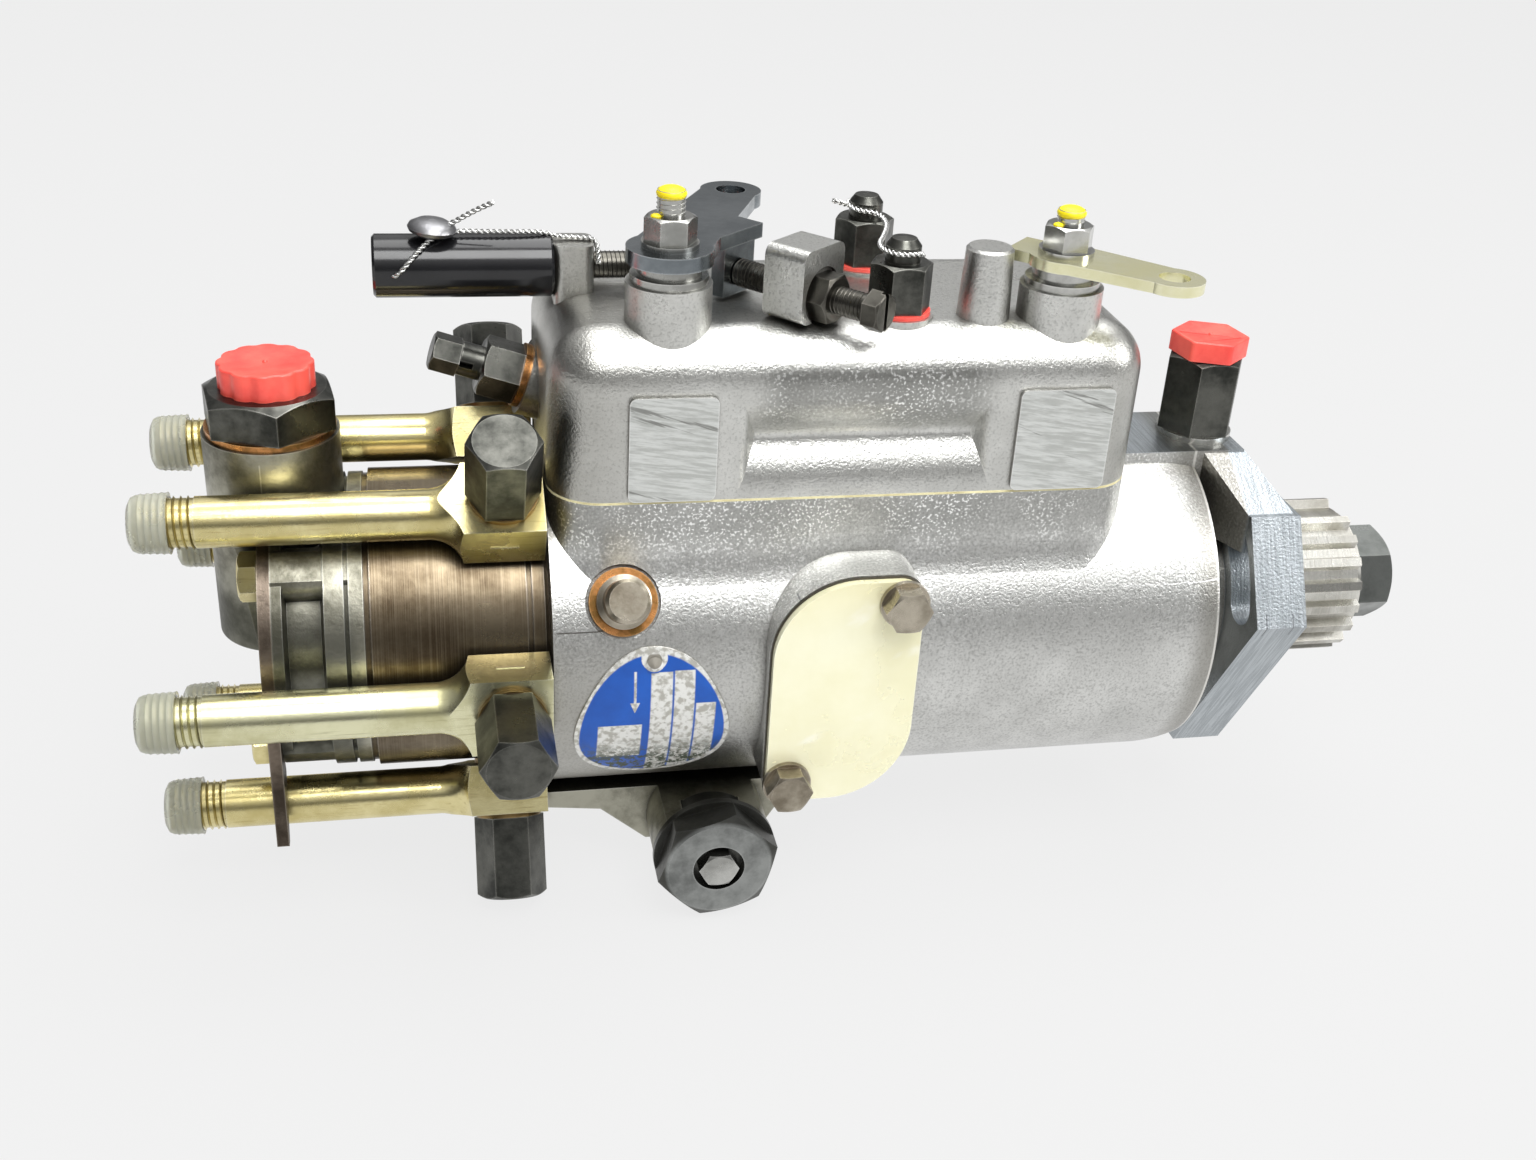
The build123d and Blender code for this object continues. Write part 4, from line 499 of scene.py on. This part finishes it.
for name in outlets:
    spun(bm, profile, tube_end(name) + Vector((cap_length - cap_stand_off, 0, 0)), (-1, 0, 0), 40)
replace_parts(piece("outlet_caps_clear", bm, clear_plastic), "outlet_caps")

black_steel = metal("black_phosphate", (98, 98, 93), (50, 51, 48), (176, 175, 168), (0.26, 0.42),
                    scale=1500.0, depth=0.00003, wear=0.6)
dress(black_steel, "banjo_bolts", "inlet_union", "vent_body", "vent_screw", "cover_screws", "leak_off_union")
soft_copper = metal("soft_copper", (208, 146, 90), (118, 88, 48), (236, 190, 136), (0.24, 0.4),
                    scale=3600.0, depth=0.00003)
dress(soft_copper, "copper_washers")
brown_copper = metal("brown_copper", (158, 132, 88), (96, 78, 48), (206, 180, 130), (0.3, 0.45),
                     depth=0.00003)
dress(brown_copper, "banjo_washers")

# A short bright dash marks the side of the two adaptor blocks next to the inspection cover
dash = (0.0062, 0.0007, 0.0004)
dash_reach = 0.0430
dash_aside = 0.0095
dash_back = 0.0090
bm = bmesh.new()
for number, side in ((2, 1), (3, -1)):
    block_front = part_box(outlets[number - 1])[1].x
    angle = radians(60 * number - 90)
    out = Vector((0, -sin(angle), cos(angle)))
    round_way = Vector((0, -cos(angle), -sin(angle)))
    middle = out * dash_reach + round_way * (side * dash_aside) + Vector((block_front - dash_back, 0, 0))
    turned = Matrix((Vector((1, 0, 0)), out, round_way)).transposed().to_4x4()
    place = Matrix.Translation(middle) @ turned @ Matrix.Diagonal((*dash, 1))
    bmesh.ops.create_cube(bm, size=1.0, matrix=place)
bright_cut = metal("bright_cut", (236, 232, 206), (214, 208, 172), (252, 250, 240), (0.2, 0.3))
piece("adaptor_dashes", bm, bright_cut)

# ------------------------------------------------------------------ end plate and red caps
# The end plate is a dark aluminium casting; a sheared steel keep plate lies under its screws.
# A fluted red plastic cap is pushed on the inlet, and a hexagonal one on the leak-off.
end_casting = metal("end_casting", (166, 164, 150), (96, 94, 82), (214, 214, 206), (0.3, 0.46),
                    scale=1200.0, depth=0.0001)
tree, along, across, height = coordinates(end_casting)

# The end plate darkens towards its foot, and a bright parting line stands on its side
foot_darkening_drop = (0.026, 0.004)
foot_darkening_start = (-0.2236, -0.2262)
seam_at = -0.2440
seam_foot = (0.026, 0.027)
seam_top = (0.0475, 0.0470)
seam_side = (-0.012, -0.0125)
darker_foot = times(tree, between(tree, height, *foot_darkening_drop, 0.0, 0.6), between(tree, along, *foot_darkening_start))
repaint(end_casting, darker_foot, (70, 72, 66))
seam = times(tree, line_at(tree, along, seam_at), between(tree, height, *seam_foot),
             between(tree, height, *seam_top), between(tree, across, *seam_side))
repaint(end_casting, seam, (206, 204, 190))
# Painted shade in the end plate's corners
paint_corner_shade(end_casting, (40, 40, 34), 0.8)
dress(end_casting, "end_plate", "advance_housing")
sheared_steel = metal("sheared_steel", (126, 114, 102), (66, 58, 50), (190, 180, 166), (0.34, 0.5),
                      scale=1100.0, depth=0.0001)
dress(sheared_steel, "end_keep_plate")
red_plastic = metal("red_plastic", (248, 98, 84), (232, 70, 62), (252, 140, 128), (0.3, 0.42),
                    scale=1500.0, depth=0.00002, metallic=0.0, wear=0.35)
dress(red_plastic, "cover_screw_washers")

cap_facets = 96
rim_round = 0.0005
dish = 0.0005
dish_border = 0.13
nub = 0.0006


def moulded_cap(bm, spot, radius, height, lobes, flute, twist):
    """A cap with lobes round its wall, or flats where it has no flutes, and a nub on its dished top."""
    at = Matrix.Translation(spot + Vector((0, 0, height / 2)))
    wall = bmesh.ops.create_cone(bm, cap_ends=True, segments=cap_facets, radius1=radius, radius2=radius,
                                 depth=height, matrix=at)["verts"]
    for vert in wall:
        arm = vert.co - spot
        swing = atan2(arm.y, arm.x) - twist
        if flute:
            keep = 1 - flute * (0.5 - 0.5 * cos(lobes * swing)) ** 2
        else:
            keep = cos(pi / lobes) / cos(swing % (tau / lobes) - pi / lobes)
        vert.co.x = spot.x + arm.x * keep
        vert.co.y = spot.y + arm.y * keep
    rim = {edge for vert in wall for edge in vert.link_edges
           if all(end.co.z > spot.z + height * 0.9 for end in edge.verts)}
    bmesh.ops.bevel(bm, geom=list(rim), offset=rim_round, segments=3, profile=0.5, affect="EDGES",
                    material=-1)
    top = [face for face in bm.faces if len(face.verts) == cap_facets
           and face.calc_center_median().z > spot.z + height / 2
           and (face.calc_center_median() - spot).xy.length < radius / 2]
    bmesh.ops.inset_region(bm, faces=top, thickness=radius * dish_border)
    bmesh.ops.translate(bm, verts=top[0].verts[:], vec=(0, 0, -dish))
    nub_place = Matrix.Translation(spot + Vector((0, 0, height - dish)))
    bmesh.ops.create_uvsphere(bm, u_segments=16, v_segments=8, radius=nub, matrix=nub_place)


# Each cap's union, seat, radius, height, lobes, depth of flute and twist in degrees
red_caps = (
    ("inlet_union", 0.0040, 0.0106, 0.0060, 12, 0.06, 0),
    ("leak_off_union", 0.0029, 0.0096, 0.0050, 6, 0.0, -20),
)
bm = bmesh.new()
for union, seat, radius, tall, lobes, flute, twist in red_caps:
    low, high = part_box(union)
    mouth = Vector(((low.x + high.x) / 2, 0, high.z - seat))
    moulded_cap(bm, mouth, radius, tall, lobes, flute, radians(twist))
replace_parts(piece("fluted_red_caps", bm, red_plastic, crease=50.0), "blanking_caps")

# ------------------------------------------------------------------ levers, shafts and adjusters
# The throttle lever is blued steel and the shut-off lever is passivated pale gold.
# Bright nuts hold them; the stud tops are sealed with dabs of yellow paint.
blued_steel = metal("blued_steel", (158, 164, 168), (112, 118, 122), (206, 210, 212), (0.16, 0.28),
                    depth=0.00002, wear=0.7)
dress(blued_steel, "throttle_lever")
gloss_black = metal("gloss_black", (30, 30, 32), (16, 16, 18), (70, 70, 72), (0.12, 0.22),
                    scale=600.0, depth=0.00001, metallic=0.0, wear=0.3)
dress(gloss_black, "max_speed_sleeve")
bright_steel = metal("bright_steel", (198, 198, 194), (146, 146, 142), (240, 240, 236), (0.18, 0.32),
                     depth=0.00003)
dress(bright_steel, "throttle_fittings", "shut_off_fittings", "throttle_shaft", "shut_off_shaft",
      "leak_off_washer")
pale_zinc = metal("pale_gold_lever", (242, 240, 208), (222, 218, 172), (252, 251, 236), (0.18, 0.28),
                  scale=700.0, depth=0.00002, metallic=0.85)
dress(pale_zinc, "shut_off_lever")
dark_thread = metal("dark_thread", (92, 90, 84), (52, 50, 46), (150, 146, 138), (0.3, 0.44),
                    scale=1500.0, depth=0.00002)
dress(dark_thread, "adjusting_screws")
yellow_paint = metal("yellow_paint", (250, 232, 20), (232, 208, 10), (255, 250, 120), (0.3, 0.45),
                     scale=1500.0, depth=0.00006, metallic=0.0)

fine_pitch = 0.001
stud_crest = 0.00318
thread_sink = 0.0005
tip_clear = 0.0004
dab_radius = 0.0033
dab_sink = 0.0008
drip_radius = 0.0012
drip_away = Vector((-0.0034, -0.0016, 0.0006))
for name, body, fittings in (("throttle_shaft", "throttle", "throttle_fittings"),
                             ("shut_off_shaft", "shut_off", "shut_off_fittings")):
    nut_low, nut_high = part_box(fittings)
    foot = Vector(((nut_low.x + nut_high.x) / 2, (nut_low.y + nut_high.y) / 2, nut_high.z - thread_sink))
    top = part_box(name)[1].z
    bm = bmesh.new()
    wind_thread(bm, foot, (0, 0, 1), top - foot.z - tip_clear, stud_crest, fine_pitch)
    piece(f"{body}_stud_thread", bm, bright_steel, body)
    bm = bmesh.new()
    dab = Matrix.Translation((foot.x, foot.y, top - dab_sink)) @ Matrix.Diagonal((1.0, 1.0, 0.5, 1.0))
    bmesh.ops.create_uvsphere(bm, u_segments=32, v_segments=16, radius=dab_radius, matrix=dab)
    drip = Matrix.Translation(foot + drip_away) @ Matrix.Diagonal((1.0, 0.9, 0.5, 1.0))
    bmesh.ops.create_uvsphere(bm, u_segments=24, v_segments=12, radius=drip_radius, matrix=drip)
    piece(f"{body}_paint_dab", bm, yellow_paint, body)

idle_start = Vector((-0.13725, -0.00485, 0.0870))
idle_way = (0.6820, -0.7314, 0.0)
idle_run = 0.0350
speed_start = Vector((-0.1698, 0.0040, 0.0861))
speed_run = 0.0118
for name, spot, way, run in (("idle_screw_thread", idle_start, idle_way, idle_run),
                             ("speed_screw_thread", speed_start, (1, 0, 0), speed_run)):
    bm = bmesh.new()
    wind_thread(bm, spot, way, run, stud_crest, fine_pitch)
    piece(name, bm, dark_thread)

# ------------------------------------------------------------------ locking wires and lead seal
# Bright wire, twisted in pairs, seals the top-speed sleeve and locks the two cover screws.
# A soft lead seal is pressed on the wire over the sleeve.
wire_radius = 0.00032
wire_twist = 0.0026
wire_step = 0.0002
corner_cuts = 3
seal_wire = metal("seal_wire", (226, 226, 224), (176, 176, 174), (250, 250, 248), (0.2, 0.34),
                  scale=2500.0, depth=0.00001)


def eased(points):
    """A wire's route with its corners bent round."""
    route = [Vector(point) for point in points]
    for _ in range(corner_cuts):
        cut = [route[0]]
        for first, second in zip(route, route[1:]):
            cut += [first.lerp(second, 0.25), first.lerp(second, 0.75)]
        route = cut + [route[-1]]
    return route


def twisted_wire(name, points):
    """Two strands wound round each other along a route, as one piece."""
    route = eased(points)
    strands = bpy.data.curves.new(name, "CURVE")
    strands.dimensions = "3D"
    strands.bevel_depth = wire_radius
    strands.bevel_resolution = 2
    strands.use_fill_caps = True
    samples = []
    walked = 0.0
    for first, second in zip(route, route[1:]):
        span = (second - first).length
        count = max(2, round(span / wire_step))
        way = (second - first).normalized()
        side = way.orthogonal().normalized()
        for step in range(count):
            share = step / count
            samples.append((first.lerp(second, share), way, side, walked + span * share))
        walked += span
    for strand in (0, pi):
        line = strands.splines.new("POLY")
        line.points.add(len(samples) - 1)
        for point, (spot, way, side, gone) in zip(line.points, samples):
            swing = Matrix.Rotation(strand + gone / wire_twist * tau, 3, way)
            point.co = (*(spot + swing @ side * wire_radius), 1.0)
    holder = bpy.data.objects.new(name + "_line", strands)
    mesh = bpy.data.meshes.new_from_object(holder)
    bpy.data.objects.remove(holder)
    bm = bmesh.new()
    bm.from_mesh(mesh)
    piece(name, bm, seal_wire, crease=80.0)


sleeve_low, sleeve_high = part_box("max_speed_sleeve")
sleeve_y = (sleeve_low.y + sleeve_high.y) / 2
sleeve_z = (sleeve_low.z + sleeve_high.z) / 2
sleeve_front = sleeve_low.y - 0.0003
over_sleeve = sleeve_high.z + 0.0009
over_post = 0.0925
sleeve_route = [
    (-0.2140, sleeve_front + 0.0012, sleeve_z - 0.0005),
    (-0.2125, sleeve_front - 0.0002, sleeve_z + 0.0002),
    (-0.2090, sleeve_front + 0.0008, sleeve_z + 0.0042),
    (-0.2050, sleeve_y - 0.0035, over_sleeve - 0.0006),
    (-0.2010, sleeve_y - 0.0008, over_sleeve + 0.0002),
    (-0.1900, sleeve_y - 0.0012, over_sleeve),
    (-0.1805, sleeve_y - 0.0006, over_sleeve - 0.0001),
    (-0.1778, sleeve_y - 0.0004, over_post + 0.0002),
    (-0.1735, sleeve_y - 0.0002, over_post),
    (-0.1690, sleeve_y - 0.0010, over_post),
    (-0.1686, sleeve_y - 0.0030, sleeve_z + 0.0040),
    (-0.1686, sleeve_y - 0.0042, sleeve_z + 0.0016),
]
sleeve_tail = [
    (-0.2065, sleeve_y - 0.0018, over_sleeve + 0.0002),
    (-0.2010, sleeve_y - 0.0022, over_sleeve + 0.0020),
    (-0.1960, sleeve_y - 0.0030, over_sleeve + 0.0052),
    (-0.1915, sleeve_y - 0.0040, over_sleeve + 0.0075),
]
twisted_wire("sleeve_wire", sleeve_route)
twisted_wire("sleeve_wire_end", sleeve_tail)

# The lock wire runs round the neck of the first cover screw, across, and round the second
screw_low, screw_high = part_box("cover_screws")
screw_half = 0.0063
neck_drop = 0.0032
neck_z = screw_high.z - neck_drop
screw_x = (screw_low.x + screw_high.x) / 2
screw_y = (screw_high.y - screw_low.y) / 2 - screw_half
lock_route = [
    (screw_x - 0.0018, screw_y + 0.0044, neck_z + 0.0005),
    (screw_x - 0.0047, screw_y + 0.0010, neck_z + 0.0004),
    (screw_x - 0.0030, screw_y - 0.0042, neck_z),
    (screw_x + 0.0022, screw_y - 0.0048, neck_z - 0.0004),
    (screw_x + 0.0026, screw_y - 0.0110, neck_z - 0.0012),
    (screw_x - 0.0014, -screw_y + 0.0120, neck_z - 0.0008),
    (screw_x - 0.0044, -screw_y + 0.0046, neck_z),
    (screw_x - 0.0048, -screw_y - 0.0012, neck_z + 0.0003),
    (screw_x - 0.0016, -screw_y - 0.0050, neck_z + 0.0002),
    (screw_x + 0.0038, -screw_y - 0.0034, neck_z),
]
lock_tail = [
    (screw_x - 0.0046, screw_y - 0.0008, neck_z + 0.0004),
    (screw_x - 0.0068, screw_y - 0.0014, neck_z + 0.0012),
    (screw_x - 0.0086, screw_y - 0.0010, neck_z + 0.0016),
]
twisted_wire("cover_screw_wire", lock_route)
twisted_wire("cover_screw_wire_end", lock_tail)

seal_lead = metal("seal_lead", (170, 170, 172), (120, 120, 122), (222, 222, 222), (0.3, 0.44),
                  scale=700.0, depth=0.00012)
seal_x = -0.2048
seal_tip = radians(6)
seal_profile = [(0.0, -0.0018), (0.0034, -0.0018), (0.0050, -0.0010), (0.0054, -0.0002), (0.0050, 0.0006),
                (0.0032, 0.0016), (0.0, 0.0020)]
bm = bmesh.new()
seal_place = Matrix.Translation((seal_x, sleeve_y - 0.0020, over_sleeve + 0.0014))
seal_place = seal_place @ Matrix.Rotation(seal_tip, 4, "Y")
spun(bm, seal_profile, seal_place.translation, seal_place.col[2].xyz, 48)
piece("lead_seal", bm, seal_lead)

# ------------------------------------------------------------------ inspection cover, screws and drive pieces
# The cover is a pale passivated sheet with a wiped oily film, held by two brown hexagon screws.
# The advance cap, the drive hub and its bolt are turned steel, and the inner pieces are ground.
cover_sheet = metal("pale_yellow_zinc", (242, 240, 212), (232, 228, 190), (252, 250, 232), (0.18, 0.34),
                    scale=320.0, depth=0.00001, metallic=0.25, wear=0.6)
tree, along, across, height = coordinates(cover_sheet)
film_drop = (0.031, 0.014)
wiped = scratches(tree, 110.0, (2.5, 1.0, 1.0), lean=-25)
repaint(cover_sheet, between(tree, wiped, 0.58, 0.72, 0.0, 0.5), (252, 252, 246))
repaint(cover_sheet, between(tree, height, *film_drop, 0.5, 0.0), (228, 220, 172))
dress(cover_sheet, "inspection_cover")
dark_seal = metal("dark_seal", (66, 60, 44), (36, 32, 26), (96, 90, 70), (0.5, 0.7), metallic=0.0)
dress(dark_seal, "inspection_gasket")
brown_steel = metal("brown_steel", (188, 180, 164), (122, 113, 98), (220, 212, 200), (0.24, 0.38),
                    scale=1200.0, depth=0.00004)
dress(brown_steel, "inspection_screws", "head_locking_screws")

# Only the advance cap's end face is bright; its flanks keep their dark scale
satin_steel = metal("satin_steel", (154, 156, 154), (108, 110, 108), (206, 208, 206), (0.28, 0.42),
                    scale=1500.0, depth=0.00004)
tree, along, across, height = coordinates(satin_steel)
cap_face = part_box("advance_cap")[0].y
behind_face = between(tree, across, cap_face + 0.0001, cap_face + 0.0006, 0.0, 0.8)
repaint(satin_steel, behind_face, (58, 57, 52))
dress(satin_steel, "advance_cap")
dress(bright_steel, "advance_cap_screw")
hub_steel = metal("hub_steel", (224, 223, 216), (160, 157, 148), (240, 236, 228), (0.22, 0.38),
                  depth=0.00004)
turn(hub_steel, 0.00002, 2500.0, (120, 116, 106), 0.25)
dress(hub_steel, "drive_hub")
bolt_steel = metal("drive_bolt_steel", (146, 149, 146), (100, 103, 100), (200, 202, 198), (0.26, 0.4),
                   scale=1200.0, depth=0.00003)
dress(bolt_steel, "drive_bolt")
ground_steel = metal("ground_steel", (196, 196, 194), (150, 150, 148), (232, 232, 230), (0.18, 0.3),
                     scale=1800.0, depth=0.00002)
turn(ground_steel, 0.00001, 3000.0, (130, 130, 128), 0.4)
dress(ground_steel, "drive_shaft", "weight_retainer", "thrust_sleeve", "pumping_rotor", "transfer_rotor",
      "plunger_1", "plunger_2", "governor_arm", "governor_spring", "metering_valve", "advance_piston",
      "advance_spring", "cam_ring", *[f"governor_weight_{number}" for number in range(1, 5)])

# ------------------------------------------------------------------ name plate
# A thin aluminium plate, printed blue and held by a rivet near its top.
# The print leaves a silver border, blank silver fields and a plain arrow for the drive's
# turning sense. It carries no words.
plate = metal("name_plate_print", (16, 90, 188), (12, 74, 162), (196, 198, 198), (0.26, 0.4),
              scale=700.0, depth=0.00001, metallic=0.15, wear=0.0)
tree, along, across, height = coordinates(plate)
spot = tree.nodes["Texture Coordinate"].outputs["Object"]
plate_low, plate_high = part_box("name_plate")
plate_x = (plate_low.x + plate_high.x) / 2
plate_half = (plate_high.x - plate_low.x) / 2
plate_widest = -0.0126
sideways = calc(tree, "SUBTRACT", along, plate_x)
aside = calc(tree, "DIVIDE", sideways, plate_half)
rise = calc(tree, "SUBTRACT", height, plate_widest)
above = calc(tree, "GREATER_THAN", rise, 0.0)
span = weigh(tree, above, plate_widest - plate_low.z, plate_high.z - plate_widest)
upward = calc(tree, "DIVIDE", rise, span)
stain = between(tree, noise(tree, spot, 700.0, 4.0), 0.38, 0.56)
silver = blend(tree, stain, (168, 166, 158), (216, 216, 212))


def distance(tree, first, second):
    """How far a point lies from a middle, from its two offsets."""
    squares = [calc(tree, "MULTIPLY", offset, offset) for offset in (first, second)]
    return calc(tree, "SQRT", calc(tree, "ADD", *squares))


def field(tree, left, right, foot, top, side_fade=0.01, end_fade=0.0001):
    """A mask for a rectangle on the plate, in half widths across and metres up."""
    return times(tree, between(tree, aside, left - side_fade, left + side_fade),
                 between(tree, aside, right + side_fade, right - side_fade),
                 between(tree, height, foot - end_fade, foot + end_fade),
                 between(tree, height, top + end_fade, top - end_fade))


def disc(tree, level, radius, fade=0.0001):
    """A mask for a round spot on the plate's middle line."""
    far = distance(tree, sideways, calc(tree, "SUBTRACT", height, level))
    return between(tree, far, radius + fade, radius - fade)


silver_fields = (
    (-0.04, 0.235, -0.0400, 0.0056),
    (0.26, 0.52, -0.0400, 0.0058),
    (0.545, 0.80, -0.0230, -0.0030),
    (-0.70, -0.14, -0.0195, -0.0085),
)
for sides in silver_fields:
    repaint(plate, field(tree, *sides), silver, 0.35)

arrow_at = -0.24
arrow_half = 0.015
arrow_top = 0.0060
shaft_foot = -0.0035
arrow_tip = -0.0050
barb_slope = 0.045
barb_top = (-0.0020, -0.0022)
repaint(plate, field(tree, arrow_at - arrow_half, arrow_at + arrow_half, shaft_foot, arrow_top), silver)
from_shaft = calc(tree, "ABSOLUTE", calc(tree, "SUBTRACT", aside, arrow_at))
over_tip = calc(tree, "SUBTRACT", height, arrow_tip)
outside_barb = calc(tree, "SUBTRACT", times(tree, from_shaft, barb_slope), over_tip)
barb = times(tree, between(tree, outside_barb, 0.0, -0.0001), between(tree, height, *barb_top))
repaint(plate, barb, silver)

rivet_at = 0.0086
rivet_radius = 0.0017
bare_ring_at = 0.0090
bare_ring_radius = 0.0030
worn_foot = (-0.0120, -0.0220)
border = (0.925, 0.945)
repaint(plate, disc(tree, bare_ring_at, bare_ring_radius), silver, 0.35)
repaint(plate, disc(tree, rivet_at, rivet_radius), (138, 134, 124), 0.35)
worn = times(tree, between(tree, height, *worn_foot),
             between(tree, noise(tree, spot, 620.0, 5.0, 0.7), 0.46, 0.53))
repaint(plate, worn, (74, 82, 66), 0.6)
repaint(plate, between(tree, distance(tree, aside, upward), *border), silver, 0.35)
dress(plate, "name_plate")

# ------------------------------------------------------------------ floor, light and camera
# A pale sweep of matt paper runs under the pump, lit by three large soft boxes.
# The camera stands above and to the left of the inspection cover.
floor_gap = 0.0002
floor_reach = 6.0
paper_white = tint(239, 239, 239)
paper_glow = 0.93
bm = bmesh.new()
bmesh.ops.create_grid(bm, x_segments=1, y_segments=1, size=floor_reach)
bmesh.ops.translate(bm, verts=bm.verts, vec=(0, 0, cad_box[0][2] - floor_gap))
floor_mesh = bpy.data.meshes.new("floor")
bm.to_mesh(floor_mesh)
bm.free()
floor = bpy.data.objects.new("floor", floor_mesh)
bpy.context.collection.objects.link(floor)
floor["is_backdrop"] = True
sweep = bpy.data.materials.new("pale_sweep")
sweep.use_nodes = True
tree = sweep.node_tree
shader = tree.nodes["Principled BSDF"]
shader.inputs["Base Color"].default_value = tint(214, 214, 214)
shader.inputs["Roughness"].default_value = 0.9
glow = add(tree, "ShaderNodeEmission", {"Color": paper_white, "Strength": 1.0}).outputs[0]
rays = add(tree, "ShaderNodeLightPath").outputs
mirrored = calc(tree, "MAXIMUM", rays["Is Glossy Ray"], rays["Is Transmission Ray"])
seen = calc(tree, "MAXIMUM", rays["Is Camera Ray"], mirrored)
mixed = add(tree, "ShaderNodeMixShader", {0: times(tree, seen, paper_glow), 1: shader.outputs[0], 2: glow})
tree.links.new(mixed.outputs[0], tree.nodes["Material Output"].inputs["Surface"])
floor_mesh.materials.append(sweep)

# The room is dim low down and to the left, and plain white behind the pump
world = bpy.data.worlds.new("studio")
bpy.context.scene.world = world
world.use_nodes = True
tree = world.node_tree
background = tree.nodes["Background"].inputs
rays = add(tree, "ShaderNodeLightPath").outputs
direction = add(tree, "ShaderNodeTexCoord").outputs["Generated"]
sideways, _, rise = add(tree, "ShaderNodeSeparateXYZ", {0: direction}).outputs
room_rise = (0.1, 0.7)
room_left = (-0.8, -0.1)
level = times(tree, between(tree, rise, *room_rise, 0.16, 1.05),
              between(tree, sideways, *room_left, 0.4, 1.0))
background["Color"].default_value = paper_white
tree.links.new(weigh(tree, rays["Is Camera Ray"], level, 1.0), background["Strength"])

aim = Vector((-0.1, 0, 0))
soft_boxes = (
    ("key", (0.0, -0.68, 1.15), 0.7, 13.0),
    ("top", (0.05, 0.25, 1.2), 0.9, 10.0),
    ("right", (1.0, -0.45, 0.6), 0.5, 6.0),
)
for name, spot, size, power in soft_boxes:
    lamp = bpy.data.lights.new(name, "AREA")
    lamp.energy = power
    lamp.size = size
    stand = bpy.data.objects.new(name, lamp)
    bpy.context.collection.objects.link(stand)
    stand.location = spot
    stand.rotation_euler = (aim - Vector(spot)).to_track_quat("-Z", "Y").to_euler()

film_width = 36
focal_pixels = 1700
frame_pixels = 1536
camera_spot = (-0.20961, -0.36742, 0.20704)
pitch, yaw, roll = radians(28.18), radians(12.96), radians(3.72)
lens = bpy.data.cameras.new("camera")
lens.lens = focal_pixels / frame_pixels * film_width
lens.sensor_width = film_width
lens.clip_start = 0.01
lens.dof.use_dof = False
camera = bpy.data.objects.new("camera", lens)
bpy.context.collection.objects.link(camera)
ahead = Vector((sin(yaw) * cos(pitch), cos(yaw) * cos(pitch), -sin(pitch)))
level_right = Vector((cos(yaw), -sin(yaw), 0))
level_up = level_right.cross(ahead)
right = level_right * cos(roll) + level_up * sin(roll)
up = -level_right * sin(roll) + level_up * cos(roll)
aimed = Matrix((right, up, -ahead)).transposed().to_4x4()
camera.matrix_world = Matrix.Translation(camera_spot) @ aimed
bpy.context.scene.camera = camera
bpy.context.scene.view_settings.view_transform = "Standard"

low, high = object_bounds()
